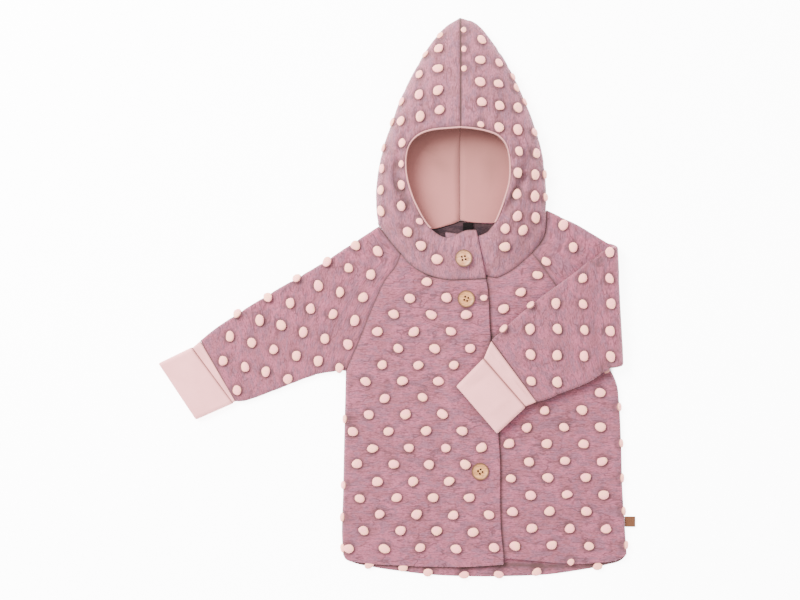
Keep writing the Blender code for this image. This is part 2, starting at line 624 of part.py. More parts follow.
class Samples(list):
    """Points over a window of a surface, to start a search from."""

    def __init__(self, surface, low, high, steps=28):
        super().__init__()
        self.low, self.high = low, high
        for i in range(steps + 1):
            for j in range(steps + 1):
                u = mix(low[0], high[0], i / steps)
                v = mix(low[1], high[1], j / steps)
                point = surface.at(u, v)
                self.append((u, v, point.x, point.y))


def strew(wall, net, seed, window, shows=None):
    """Puts a net's bobbles on a window of a wall, those on its turned edges included."""
    samples = Samples(wall.surface, *window)
    xs = [s[2] for s in samples]
    ys = [s[3] for s in samples]
    for x, y, size in net_points(net, seed):
        if not (min(xs) - 4 < x < max(xs) + 4 and min(ys) - 4 < y < max(ys) + 4):
            continue
        if shows and not shows(x, y):
            continue
        u, v, off = nearest_on(wall.surface, samples, x, y)
        if off < EDGE_CATCH:
            wall.add_bobble(u, v, size)


# ---------------------------------------------------------------- what hides what
FOREARM_SHAPE = [FOLD_TOP, (177.0, 352.0), (182.0, 221.0), FOLD_FOOT, (139.5, 203.4),
                 (110.5, 191.6), (83.6, 182.2), (39.6, 146.0), (-4.5, 198.6), (30.0, 243.0),
                 (34.1, 249.7), (77.0, 288.2), (121.0, 320.6)]
BUTTON_CLEAR = BUTTON_ACROSS / 2 + BOBBLE_SHORT + 0.3


def clear_of_forearm(x, y):
    widened = pulled_in(FOREARM_SHAPE, -(BOBBLE_LONG + 0.8))
    return not inside(widened, x, y)


def clear_of_buttons(x, y):
    return all(math.dist((x, y), place) > BUTTON_CLEAR for place in BUTTONS.values())


# ---------------------------------------------------------------- panels
def polygon_grid(outline, spacing):
    """Plain points in an outline on an even net, clear of its edges."""
    xs, ys = [p[0] for p in outline], [p[1] for p in outline]
    room = pulled_in(outline, spacing * 0.3)
    points = []
    rows = max(2, round((max(ys) - min(ys)) / spacing))
    columns = max(2, round((max(xs) - min(xs)) / spacing))
    for j in range(1, rows):
        for i in range(1, columns):
            point = (mix(min(xs), max(xs), i / columns), mix(min(ys), max(ys), j / rows))
            if inside(room, *point):
                points.append(point)
    return points


def front_grid(surface, outline, spacing):
    """Plain points of a front, in columns that follow its side seam."""
    room = pulled_in(outline, 1.4)
    far = pulled_in(outline, spacing * 0.28)
    top = max(p[1] for p in outline)
    rows = round((top - HEM_DIP_REACH) / spacing)
    points = []
    for y in [HEM_DIP_REACH / 2] + [mix(HEM_DIP_REACH, top, j / rows) for j in range(rows)]:
        for column, x in enumerate(surface.columns(y, spacing)):
            if inside(room if column < 3 else far, x, y):
                points.append((x, y))
    return points


def front_panel(surface, plan):
    """A front's wall, ready for its bobbles, its outline finer where it crosses the roll."""
    pulled = pulled_in(plan, SEAM_PULL)
    outline = []
    for here, after in zip(pulled, pulled[1:] + pulled[:1]):
        into = [abs(x_on(surface.side_line, y) - x) for x, y in (here, after)]
        crosses = min(into) < surface.roll and abs(into[0] - into[1]) > 1.0
        steps = ROLL_STEPS if crosses else 1
        for step in range(steps):
            outline.append(surface.unrolled(mix(here[0], after[0], step / steps),
                                            mix(here[1], after[1], step / steps)))
    return Wall(surface, outline)


def build_fronts():
    right = FrontSurface(SIDE_RIGHT, -1, True)
    plan = NECK_RIGHT[2:] + LAP_EDGE[1:] + HEM_RIGHT[::-1] + SIDE_RIGHT[::-1]
    plan += RAGLAN_RIGHT[-2:0:-1]
    wall = front_panel(right, plan)
    us = [u for u, _ in wall.outline]
    window = ((min(us), 0.5), (max(us), 343.0))
    strew(wall, "body_right", 11, window,
          lambda x, y: clear_of_forearm(x, y) and clear_of_buttons(x, y))
    make("front_right", wall.mesh("front_right", front_grid(right, wall.outline, GRID),
                                  front_grid(right, wall.outline, PLAIN_GRID)), "wool")

    left = FrontSurface(SIDE_LEFT, 1, False)
    under_edge = [(x - LAP, y) for x, y in LAP_EDGE[1:]]
    plan = NECK_LEFT[1:] + under_edge + HEM_LEFT + SIDE_LEFT[::-1] + RAGLAN_LEFT[-2:0:-1]
    wall = front_panel(left, plan)
    us = [u for u, _ in wall.outline]
    window = ((min(us), 0.5), (max(us), 343.0))

    def shows(x, y):
        return x > x_on(LAP_EDGE, y) + BOBBLE_LONG * 0.6 and clear_of_forearm(x, y)

    strew(wall, "body_left", 12, window, shows)
    make("front_left", wall.mesh("front_left", front_grid(left, wall.outline, GRID),
                                 front_grid(left, wall.outline, PLAIN_GRID)), "wool")


def build_back(neck):
    """The back panel, whose underside is the face that the coat rests on."""
    plan = [place_along(NECK_RIGHT[0:2], 0.12)] + [(x, y - NECK_EASE) for x, y in neck[1:-1]]
    plan += [place_along(NECK_LEFT[0:2], 0.12)]
    plan += NECK_LEFT[1:2] + RAGLAN_LEFT[1:] + SIDE_LEFT[1:]
    plan += BACK_HEM[::-1] + SIDE_RIGHT[::-1] + RAGLAN_RIGHT[-2::-1] + NECK_RIGHT[1:2]
    wall = Wall(FlatSurface(WOOL), pulled_in(plan, SEAM_PULL))
    grid = polygon_grid(wall.outline, 34.0)
    make("back", wall.mesh("back", grid, grid), "wool")


# ---------------------------------------------------------------- sleeves
def ring_turns(spacing, seam=None, width=0.0):
    """The u of each point round a ring: both turned edges, and the flats between them.

    Where the ring is a seam's own line, the flats take the seam's corners instead.
    """
    first, second, third, fourth = RING_BREAKS[1:5]
    flat = second - first
    if seam:
        lengths = [math.dist(a, b) for a, b in zip(seam, seam[1:])]
        shares = [sum(lengths[:i]) / sum(lengths) for i in range(1, len(seam) - 1)]
        steps = [(s * width - EDGE_ROLL) / (width - 2 * EDGE_ROLL) for s in shares]
        steps = [s for s in steps if s > 0.01]
    else:
        count = round(flat * RING_RUN / spacing)
        steps = [i / count for i in range(1, count)]
    turns = [0.0, first / 2, first] + [first + flat * (1.0 - s) for s in reversed(steps)]
    turns += [second + (third - second) * i / 4 for i in range(5)]
    turns += [third + flat * s for s in steps] + [fourth, mix(fourth, 1.0, 0.5), 1.0]
    return [turn * RING_RUN for turn in turns]


def ring_stations(surface, spacing):
    """The v of each plain ring along a sleeve."""
    stations = []
    for a, b in zip(surface.stations, surface.stations[1:]):
        count = max(1, round((b - a) / spacing))
        stations += [mix(a, b, i / count) for i in range(1, count + 1)]
    return stations[:-1]


def tube_wall(surface, side, seam):
    """A sleeve's wall: once around it, from the seam at its head to the seam at its cuff."""
    width = math.dist(seam[0], seam[-1])
    stations = ring_stations(surface, GRID)
    start, end = SEAM_PULL, surface.length - SEAM_PULL
    outline = [(u, start) for u in ring_turns(GRID, seam, width)]
    outline += [(RING_RUN, v) for v in stations]
    outline += [(u, end) for u in reversed(ring_turns(GRID))]
    outline += [(0.0, v) for v in reversed(stations)]
    return Wall(surface, outline, side, joined=True)


def tube_grid(surface, spacing):
    return [(u, v) for v in ring_stations(surface, spacing) for u in ring_turns(spacing)[1:-1]]


def build_sleeves():
    seam = NECK_RIGHT[0:3] + RAGLAN_RIGHT[1:]
    surface = TubeSurface(RIGHT_SLEEVE_RINGS, seam)
    wall = tube_wall(surface, -1.0, seam)
    on_top = (0.51 * RING_RUN, 0.99 * RING_RUN)     # the upper layer and the turns beside it
    beneath = (0.01 * RING_RUN, 0.49 * RING_RUN)    # the under layer, which the fold brings up
    strew(wall, "sleeve_right", 21, ((on_top[0], 3.0), (on_top[1], surface.length - 3.0)))
    make("sleeve_right", wall.mesh("sleeve_right", tube_grid(surface, GRID),
                                   tube_grid(surface, PLAIN_GRID)), "wool")

    seam = HOOD_SIDE_LEFT + NECK_LEFT[0:2] + RAGLAN_LEFT[1:]
    rings = list(UPPER_ARM_RINGS)
    fold_radius = FOLD_HEIGHT - EDGE_ROLL
    for step in range(FOLD_STEPS + 1):
        turned = math.pi * step / FOLD_STEPS
        out = fold_radius * math.sin(turned)
        drop = FOLD_DROP * step / FOLD_STEPS
        rings.append((FOLD_TOP[0] + out, FOLD_TOP[1] - drop, FOLD_FOOT[0] + out,
                      FOLD_FOOT[1] - drop * 0.5, FOLD_HEIGHT - fold_radius * math.cos(turned),
                      math.degrees(turned), 0.0))
    fold_end = FOLD_HEIGHT + fold_radius
    rings += [ring + (fold_end, 180.0, 0.0) for ring in FOREARM_RINGS]
    surface = TubeSurface(rings, seam)
    wall = tube_wall(surface, 1.0, seam)
    fold_start = surface.stations[len(UPPER_ARM_RINGS)]
    fold_middle = surface.stations[len(UPPER_ARM_RINGS) + FOLD_STEPS // 2]
    strew(wall, "upper_arm_left", 22, ((on_top[0], 3.0), (on_top[1], fold_start)),
          clear_of_forearm)
    strew(wall, "forearm_left", 23, ((beneath[0], fold_middle),
                                     (beneath[1], surface.length - 3.0)))
    make("sleeve_left", wall.mesh("sleeve_left", tube_grid(surface, GRID),
                                  tube_grid(surface, PLAIN_GRID)), "wool")
    return fold_end


# ---------------------------------------------------------------- hood, collar and lining
def fan_outline(last_ray, corner_ray, neck_ray, crown_end, end, crown_lines, under_lines):
    """The (u, v) outline of a fan of rays: brim, far edge, seam, slant to the neck, middle."""
    outline = [(k * RAY_STEP / 2, 0.0) for k in range(round(last_ray * 2) + 1)]
    outline += [(last_ray * RAY_STEP, v) for v in crown_lines if 0.0 < v < crown_end]
    steps = round(last_ray - corner_ray)
    outline += [((last_ray - k) * RAY_STEP, crown_end) for k in range(steps + 1)]
    for share in (0.12, 0.3, 0.5, 0.75, 1.0):
        outline.append((mix(corner_ray, neck_ray, share) * RAY_STEP, mix(crown_end, end, share)))
    outline += [(k * RAY_STEP, end) for k in range(round(neck_ray) - 1, 0, -1)]
    lines = [v for v in crown_lines + under_lines if 0.0 < v < end]
    return outline + [(0.0, v) for v in sorted(lines, reverse=True)]


CROWN_LINES = [CROWN_RUN * t for t in (0.06, 0.14, 0.26, 0.4, 0.55, 0.7, 0.83, 0.92, 0.975)]
TURN_LINES = [CROWN_RUN + TURN_RUN * t for t in (0.0, 0.33, 0.67, 1.0)]
UNDER_LINES = [CROWN_RUN + TURN_RUN + UNDER_RUN * t for t in (0.33, 0.67)]


def fan_grid(outline, last_ray, lines, every):
    """Plain points of a fan, on its rays and between them."""
    points = []
    count = round(last_ray * every)
    for k in range(1, count):
        for v in lines:
            point = (k / every * RAY_STEP, v)
            around = [(point[0] + a, point[1] + b) for a in (-2.0, 2.0) for b in (-1.0, 1.0)]
            if all(inside(outline, *p) for p in around):
                points.append(point)
    return points


def build_hood(name, rays, side):
    """One half of the hood; returns its surface and the line of its back neck seam."""
    surface = HoodSurface(rays)
    end = CROWN_RUN + TURN_RUN + UNDER_RUN
    last = len(rays) - 1.0
    outline = fan_outline(last, SHOULDER_RAY, NECK_RAY, CROWN_RUN, end, CROWN_LINES,
                          TURN_LINES + UNDER_LINES)
    is_right = rays[1][0] < 0
    wall = Wall(surface, outline, side)
    wall.centre_seam = (-1.0 if is_right else 1.0, NECK_RAY * RAY_STEP + 1.0)
    crown_end = SHOULDER_RAY * RAY_STEP - 8.0
    half = "right" if is_right else "left"
    strew(wall, "crown_" + half, 31, ((4.0, 3.0), (crown_end, CROWN_RUN - 9.0)),
          lambda x, y: y > 372.0)
    strew(wall, "collar_" + half, 32, ((crown_end, 3.0), (last * RAY_STEP, CROWN_RUN - 12.0)),
          lambda x, y: collar_shows(is_right, x, y))
    turn_line = [surface.at(k * RAY_STEP / 4, CROWN_RUN) for k in range(2, 39)]
    run = HOOD_TURN_PITCH * 0.5
    for index, (a, b) in enumerate(zip(turn_line, turn_line[1:])):
        run += (b - a).length
        beside_sleeve = not is_right and b.y < 400.0
        if run > HOOD_TURN_PITCH and not beside_sleeve:
            run = 0.0
            wall.add_bobble((index + 3) * RAY_STEP / 4, CROWN_RUN - 4.0, 0.9)
    lines = CROWN_LINES + TURN_LINES + UNDER_LINES
    inner_lines = CROWN_LINES[1::2] + TURN_LINES[1::2] + UNDER_LINES
    make(name, wall.mesh(name, fan_grid(outline, last, lines, 1.0),
                         fan_grid(outline, last, inner_lines, 1.0)), "wool")
    slant = [(mix(SHOULDER_RAY, NECK_RAY, s) * RAY_STEP, mix(CROWN_RUN, end, s))
             for s in (0.0, 0.12, 0.3, 0.5, 0.75, 1.0)]
    return surface, [tuple(surface.at(*p)[0:2]) for p in slant]


def collar_shows(is_right, x, y):
    if is_right:
        return math.dist((x, y), BUTTONS["button_top"]) > BUTTON_CLEAR
    return x > x_on(LAP_EDGE, y) + BOBBLE_LONG


def build_lining(name, hood, last_ray, side):
    surface = LiningSurface(hood)
    end = surface.drop_run + surface.bag_run + surface.floor_run
    bag_end = surface.drop_run + surface.bag_run
    lines = [surface.drop_run]
    lines += [surface.drop_run + surface.bag_run * t
              for t in (0.09, 0.2, 0.32, 0.43, 0.5, 0.57, 0.68, 0.8, 0.91, 1.0)]
    under = [bag_end + surface.floor_run * t for t in (0.35, 0.7)]
    outline = fan_outline(last_ray, last_ray, NECK_RAY, bag_end, end, lines, under)
    wall = Wall(surface, outline, side, JERSEY)
    is_right = hood.rays[1][0] < 0
    wall.centre_seam = (-1.0 if is_right else 1.0, NECK_RAY * RAY_STEP + 1.0)
    grid = fan_grid(outline, last_ray, lines + under, 1.0)
    make(name, wall.mesh(name, grid, grid), "lining")


# ---------------------------------------------------------------- cuffs
def cuff_ring(lines, position, low, high, widen, floor):
    """A flattened ring of a cuff, from its place between the lines and its heights."""
    first = min(int(position), 1)
    upper = Vector(lines[first][0]).lerp(Vector(lines[first + 1][0]), position - first)
    lower = Vector(lines[first][1]).lerp(Vector(lines[first + 1][1]), position - first)
    across = (lower - upper).normalized()
    upper -= across * widen
    lower += across * widen
    radius = (high - low) / 2
    middle = floor + (high + low) / 2
    straight = (lower - upper).length - 2 * radius
    points = []
    for end, start_angle in ((lower - across * radius, -90.0), (upper + across * radius, 90.0)):
        for step in range(5):
            angle = math.radians(start_angle + 45.0 * step)
            plan = end + across * radius * math.cos(angle)
            points.append(Vector((plan.x, plan.y, middle + radius * math.sin(angle))))
        sign = 1.0 if start_angle < 0 else -1.0
        for step in (1, 2, 3):
            plan = end - across * sign * straight * step / 4
            points.append(Vector((plan.x, plan.y, middle + radius * sign)))
    return points


def build_cuff(name, lines, floor):
    """A long jersey cuff turned back on itself: its outside, its end and its inside."""
    rings = [cuff_ring(lines, *row, floor) for row in CUFF_SKIN]
    form = bmesh.new()
    loops = [[form.verts.new(p * MM) for p in ring] for ring in rings]
    for one, two in zip(loops, loops[1:] + loops[:1]):
        count = len(one)
        for i in range(count):
            j = (i + 1) % count
            form.faces.new((one[i], one[j], two[j], two[i]))
    bmesh.ops.recalc_face_normals(form, faces=form.faces)
    mesh = bpy.data.meshes.new(name)
    form.to_mesh(mesh)
    form.free()
    make(name, mesh, "jersey")


# ---------------------------------------------------------------- buttons, loop and label
BUTTON_PROFILE = [(0.0, 0.72), (0.62, 0.72), (0.76, 0.98), (0.90, 1.0), (0.98, 0.8), (1.0, 0.5),
                  (0.95, 0.15), (0.82, 0.0), (0.0, 0.0)]   # shares of radius and thickness


def build_button(name, place, floor):
    """A four-hole button: a turned disc with a raised rim."""
    profile = bpy.data.meshes.new(name)
    points = [(r * BUTTON_ACROSS / 2 * MM, 0.0, h * BUTTON_THICK * MM)
              for r, h in BUTTON_PROFILE]
    profile.from_pydata(points, [(i, i + 1) for i in range(len(points) - 1)], [])
    button = make(name, profile, "shell")
    button.location = (place[0] * MM, place[1] * MM, floor * MM)
    turn = button.modifiers.new("turned", "SCREW")
    turn.steps = turn.render_steps = 28
    turn.use_merge_vertices = True
    turn.merge_threshold = 1e-6
    turn.use_normal_calculate = True
    form = bmesh.new()
    for x in (-HOLE_SPREAD, HOLE_SPREAD):
        for y in (-HOLE_SPREAD, HOLE_SPREAD):
            centre = Matrix.Translation((x * MM, y * MM, BUTTON_THICK / 2 * MM))
            bmesh.ops.create_cone(form, cap_ends=True, segments=8, radius1=HOLE_ACROSS / 2 * MM,
                                  radius2=HOLE_ACROSS / 2 * MM, depth=BUTTON_THICK * 2 * MM,
                                  matrix=centre)
    drill_mesh = bpy.data.meshes.new(name + "_drill")
    form.to_mesh(drill_mesh)
    form.free()
    drill = bpy.data.objects.new(name + "_drill", drill_mesh)
    drill.location = button.location
    drill.hide_render = True
    drill.display_type = "WIRE"
    drill.parent = coat
    cutters.objects.link(drill)
    holes = button.modifiers.new("holes", "BOOLEAN")
    holes.object = drill
    holes.operation = "DIFFERENCE"


def build_loop():
    """The tape loop at the back of the neck, a low arch on the back panel."""
    across, deep, thick = LOOP_SIZE
    form = bmesh.new()
    rise = 1.6
    rows = []
    for step in range(7):
        t = step / 6
        height = WOOL + REST_GAP + rise * math.sin(math.pi * t)
        rows.append([form.verts.new(Vector((LOOP_PLACE[0] + x * across / 2,
                                            LOOP_PLACE[1] + (t - 0.5) * deep, height)) * MM)
                     for x in (-1, 0, 1)])
    for one, two in zip(rows, rows[1:]):
        for i in range(2):
            form.faces.new((one[i], one[i + 1], two[i + 1], two[i]))
    mesh = bpy.data.meshes.new("neck_loop")
    form.to_mesh(mesh)
    form.free()
    loop = make("neck_loop", mesh, "tape")
    wall = loop.modifiers.new("thickness", "SOLIDIFY")
    wall.thickness = thick * MM
    wall.offset = 1.0


def build_label():
    """The small bare tab sewn into the side seam."""
    bpy.ops.mesh.primitive_cube_add(size=1.0)
    tab = bpy.context.object
    tab.data.transform(Matrix.Diagonal((*[s * MM for s in LABEL_SIZE], 1.0)))
    mesh = tab.data
    bpy.data.objects.remove(tab)
    tab = make("side_label", mesh, "tab")
    tab.location = Vector((LABEL_PLACE[0] + LABEL_SIZE[0] / 2, LABEL_PLACE[1],
                           WOOL - LABEL_SIZE[2] / 2)) * MM
    edge = tab.modifiers.new("soft edges", "BEVEL")
    edge.width = 0.3 * MM
    edge.segments = 2


# ---------------------------------------------------------------- the coat
def make(name, mesh, finish):
    """Adds a piece to the coat with its own material."""
    piece = bpy.data.objects.new(name, mesh)
    red, green, blue, roughness = COLOURS[finish]
    material = bpy.data.materials.new(name + "_" + finish)
    material.use_nodes = True
    shader = material.node_tree.nodes["Principled BSDF"]
    shader.inputs["Base Color"].default_value = (red, green, blue, 1.0)
    shader.inputs["Roughness"].default_value = roughness
    shader.inputs["Metallic"].default_value = 0.0
    mesh.materials.append(material)
    mesh.shade_smooth()
    piece.parent = coat
    parts.objects.link(piece)
    return piece


for old in list(bpy.data.objects):
    bpy.data.objects.remove(old, do_unlink=True)
parts = bpy.data.collections.new("wool_coat")
cutters = bpy.data.collections.new("cutters")
for group in (parts, cutters):
    bpy.context.scene.collection.children.link(group)
coat = bpy.data.objects.new("coat_middle", None)
parts.objects.link(coat)

build_fronts()
sleeve_floor = build_sleeves() - EDGE_ROLL
right_hood, neck_right = build_hood("hood_right", HOOD_RIGHT_RAYS, -1.0)
left_hood, neck_left = build_hood("hood_left", HOOD_LEFT_RAYS, 1.0)
build_lining("hood_lining_right", right_hood, 11.5, -1.0)
build_lining("hood_lining_left", left_hood, 10.0, 1.0)
build_back(neck_right + neck_left[-2::-1])
build_cuff("cuff_right", CUFF_RIGHT_LINES, 0.0)
build_cuff("cuff_left", CUFF_LEFT_LINES, sleeve_floor - 1.0)
collar_top = max(right_hood.at(16.8 * RAY_STEP, CROWN_RUN * t).z for t in (0.35, 0.5, 0.7))
build_button("button_top", BUTTONS["button_top"], collar_top + REST_GAP)
for which in ("button_middle", "button_bottom"):
    build_button(which, BUTTONS[which], LAID + LAP_RISE + REST_GAP)
build_loop()
build_label()

# the middle of the coat's footprint becomes the origin
bpy.context.view_layer.update()
seen = bpy.context.evaluated_depsgraph_get()
corners = [piece.matrix_world @ Vector(corner) for piece in parts.objects if piece.type == "MESH"
           for corner in piece.evaluated_get(seen).bound_box]
coat.location = (-(min(c.x for c in corners) + max(c.x for c in corners)) / 2,
                 -(min(c.y for c in corners) + max(c.y for c in corners)) / 2,
                 -min(c.z for c in corners))
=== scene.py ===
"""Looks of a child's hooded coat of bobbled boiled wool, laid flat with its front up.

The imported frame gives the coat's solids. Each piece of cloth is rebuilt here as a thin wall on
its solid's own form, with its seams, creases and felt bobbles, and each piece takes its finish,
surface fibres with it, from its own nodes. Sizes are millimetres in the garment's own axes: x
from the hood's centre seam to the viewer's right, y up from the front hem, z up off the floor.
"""

import logging
import math
from dataclasses import dataclass, field
from enum import Enum

import bmesh
import bpy
import numpy as np
from mathutils import Matrix, Vector
from mathutils.kdtree import KDTree


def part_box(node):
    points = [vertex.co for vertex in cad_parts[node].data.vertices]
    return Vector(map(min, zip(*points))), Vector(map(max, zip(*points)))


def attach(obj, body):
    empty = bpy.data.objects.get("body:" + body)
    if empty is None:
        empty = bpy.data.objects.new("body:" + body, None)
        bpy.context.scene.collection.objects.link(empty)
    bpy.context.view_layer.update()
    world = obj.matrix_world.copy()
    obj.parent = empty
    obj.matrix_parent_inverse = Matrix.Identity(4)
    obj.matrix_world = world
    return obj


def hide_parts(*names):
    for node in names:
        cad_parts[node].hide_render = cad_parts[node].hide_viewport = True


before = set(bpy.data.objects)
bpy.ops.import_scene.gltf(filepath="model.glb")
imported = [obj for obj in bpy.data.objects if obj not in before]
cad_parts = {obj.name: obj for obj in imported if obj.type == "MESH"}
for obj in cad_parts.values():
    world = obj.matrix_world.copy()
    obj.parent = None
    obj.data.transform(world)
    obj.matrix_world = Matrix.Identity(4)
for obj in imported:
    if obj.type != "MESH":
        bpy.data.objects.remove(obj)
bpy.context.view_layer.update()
LOG = logging.getLogger("wool_coat")

Array = np.ndarray
Piece, Material = bpy.types.Object, bpy.types.Material
NodeTree, Node, Socket = bpy.types.NodeTree, bpy.types.Node, bpy.types.NodeSocket

MM = 0.001

# ---- driving sizes, millimetres
WOOL = 2.5
JERSEY = 1.1
REST_GAP = 0.3
FAR_OFF = 1e3               # stands for no seam or edge near
SEAM_PULL = 0.03
SEAM_FLARE = 0.0015         # how fast the hood's halves part beneath, towards the neck
LAID = 7.0
FRONT_FOOT = WOOL + REST_GAP
FRONT_ROLL = LAID - FRONT_FOOT
HEM_DIP, HEM_DIP_REACH = 1.6, 22.0
LAP, LAP_RISE, LAP_SLOPE = 46.0, 3.1, 15.0
EDGE_ROLL = LAID / 2.0
FOLD_HEIGHT = 9.3
FOLD_RADIUS = FOLD_HEIGHT - EDGE_ROLL
FOLD_DROP = 6.0
SLEEVE_FLOOR = FOLD_HEIGHT + FOLD_RADIUS - EDGE_ROLL
BUTTON_ACROSS, BUTTON_THICK = 19.0, 3.6
HOLES = [(x, y) for x in (-1.75, 1.75) for y in (-1.75, 1.75)]
HOLE_RADIUS, KNOT_RADIUS = 1.1, 1.06
BUTTON_MIDDLE_PLACE = (6.6, 295.0)

# ---- seams and edges, (x, y)
NECK_RIGHT = [(-89, 375), (-77, 358.6), (-64.9, 344.3), (-52.8, 331.1), (-35.2, 321.2),
              (-14.3, 315.7), (7.7, 315.9), (28.6, 316.8)]
NECK_LEFT = [(92.4, 363), (79.2, 345.4), (70.4, 337), (57, 326), (40, 318.2),
             (24, 315.7), (5.5, 315.7), (-15.4, 315.7)]
RAGLAN_RIGHT = [(-64.9, 344.3), (-71, 330), (-81.4, 316.8), (-92.4, 294.2),
                (-102.3, 270.6), (-113.3, 243.1), (-125.8, 215.6)]
RAGLAN_LEFT = [(79.2, 345.4), (90.2, 331.1), (101.2, 315.7), (120, 288.2), (137.5, 261),
               (149, 242), (159, 226)]
HOOD_SIDE_LEFT = [(95.2, 392.7), (94.8, 380), (92.4, 363), (79.2, 345.4)]
SIDE_RIGHT = [(-125.8, 215.6), (-126.5, 183.7), (-127.6, 139.7), (-128.7, 84.7),
              (-129.8, 29.7), (-128.7, 13.5)]
SIDE_LEFT = [(159, 226), (169.5, 209.5), (173, 200), (175, 183.7), (177.4, 139.7),
             (179, 84.7), (181.8, 40.7), (183.7, 13.5)]
HEM_RIGHT = [(-128.7, 13.5), (-125, 8.2), (-110, 5), (-62.7, 1.3), (-20.9, 0),
             (14, 0.9), (47.6, 3)]
HEM_LEFT = [(1.6, 1), (48.4, 2.6), (85.8, 1.1), (128.7, 0.4), (150.7, 2.6), (177, 8.8),
            (183.7, 13.5)]
BACK_HEM = [(-128.7, 13.5), (-126.5, 8.8), (-118, 4.6), (-95.2, -0.6), (-64, -5.2),
            (-34.1, -8.8), (0, -10.6), (30.8, -11), (62, -10.4), (95.7, -8.8),
            (128, -4.4), (158, 1.2), (180, 9), (183.7, 13.5)]
LAP_EDGE = [(28.6, 316.8), (30.8, 302.5), (32.5, 267.3), (34.8, 240), (38.5, 194.7),
            (41.8, 149.6), (43.8, 118.8), (44, 75.9), (44.8, 42.9), (47.6, 10)]
LAP_FOOT = (47.6, 3)
FOREARM_EDGE = [(83.6, 182.2), (104, 189), (127.5, 199), (158.5, 210), (170, 216)]
FOREARM_TOP = [(34.1, 249.2), (66, 272), (100, 297), (135, 324), (170, 350)]
CUFF_EDGE = [(34.1, 249.2), (25.3, 228.6), (-3.9, 198.6), (39.6, 148.1), (70.6, 177),
             (83.6, 182.2)]
NECK_EASE = 0.05        # the back panel ends this far below the turned hood

# ---- the hood, a row for each ray
# brim x, y, height | rim x, y, height | y where it ends beneath | how far in the crease lies,
# and its depth
HOOD_RIGHT_RAYS = [
    (0, 481.8, 31, 0, 604.5, 3.6, 597, 12, 0),
    (-14.3, 480.7, 31, -17.5, 593, 4.5, 585, 12, 0),
    (-29.7, 479.2, 31, -34, 573, 5.5, 563, 12, 0.4),
    (-42.9, 475.2, 30.5, -49.5, 547, 6, 536, 12, 1.2),
    (-52.8, 467.5, 30, -63, 520, 6, 508, 12, 2.2),
    (-58.3, 456.5, 29.5, -74.5, 490, 6, 481, 12, 2.8),
    (-60, 442.2, 29, -84.5, 461, 6, 455, 10, 3),
    (-58.3, 425.7, 28, -90.5, 431.2, 6, 428, 11, 3.2),
    (-52.8, 407, 26, -92.5, 406.5, 6, 404, 10, 3),
    (-46.2, 392.7, 24, -91.5, 388.5, 5.5, 381, 9, 2.2),
    (-40.7, 382.8, 22, -90.2, 380.5, 4.5, 373, 9, 1.2),
    (-35.2, 375.1, 20.5, -89, 375, 3.6, 367, 9, 0.6),
    (-29.7, 369.6, 19.5, -77, 358.6, 5.6, 367, 9, 0),
    (-24.2, 365.6, 18.5, -64.9, 344.3, 6, 367, 9, 0),
    (-18.7, 363, 17.8, -52.8, 331.1, 6.4, 367, 9, 0),
    (-13, 362.4, 17.2, -35.2, 321.2, 8, 367, 9, 0),
    (-6.6, 364.6, 16.8, -14.3, 315.7, 9.4, 367, 9, 0),
    (6, 370, 16.6, 7.7, 315.9, 9.4, 367, 9, 0),
    (17.6, 370.6, 16.2, 28.6, 316.8, 9.4, 367, 9, 0)]
HOOD_LEFT_RAYS = [
    (0, 481.8, 31, 0, 604.5, 3.6, 597, 12, 0),
    (14.3, 480.4, 31, 19.6, 596.5, 4.5, 586, 12, 0),
    (27.5, 477.9, 31, 38.4, 573.5, 5.5, 563, 12, 0),
    (40.2, 473.2, 30.5, 54.5, 548, 6, 536, 14, 0.6),
    (49, 464, 30, 67.6, 520.5, 6, 508, 18, 1.6),
    (52.8, 452, 29.5, 80, 490, 6, 481, 20, 2.4),
    (54, 438.9, 29, 88.8, 461.5, 6, 455, 19, 3),
    (53.2, 422.4, 28, 93.6, 431.5, 6, 428, 15, 3.2),
    (48.4, 404.8, 26, 95, 406.5, 6, 404, 10, 3),
    (42.4, 388, 24, 94.8, 392, 5.5, 381, 8, 2),
    (38, 378.6, 22, 94.8, 380, 4.5, 370, 8, 1),
    (33, 372.2, 20.5, 92.4, 363, 3.6, 360, 9, 0.4),
    (30, 368.6, 19, 79.2, 345.4, 5.8, 360, 9, 0),
    (26.6, 366.6, 17.6, 70.4, 337, 6, 360, 9, 0),
    (22.6, 365, 16, 57, 326, 6, 360, 9, 0),
    (18.2, 364.2, 13.6, 40, 318.2, 5.8, 360, 9, 0),
    (12, 364.2, 11.4, 23.4, 321.5, 5, 360, 9, 0),
    (0, 366.2, 10.8, 4.5, 322.5, 5, 360, 9, 0),
    (-16, 368.2, 10.6, -14.4, 322.5, 5, 360, 9, 0)]
SHOULDER_RAY = 11.0
NECK_RAY = 9.0
CROWN_RUN, TURN_RUN, UNDER_RUN = 90.0, 9.0, 72.0
CROWN_POWER = 2.1
BRIM_TUCK, BRIM_TUCK_REACH = 1.6, 3.5
CREASE_BREADTH = 4.5

# the lining, a row for each ray: reach past the brim, and where its floor ends
LINING_ROWS = [(44, 479), (40, 473), (34, 466), (27, 458), (21, 450),
               (15.5, 441), (13, 430), (16, 418), (22, 402), (27, 381),
               (28, 370), (28, 360), (28, 350)]
LINING_POWER = 2.5
LINING_DROP, LINING_FLOOR, LINING_PIPE = 3.4, 2.9, 0.7
DROP_RUN, BAG_RUN, FLOOR_RUN = 6.0, 70.0, 60.0
SHADE_REACH = 78.0

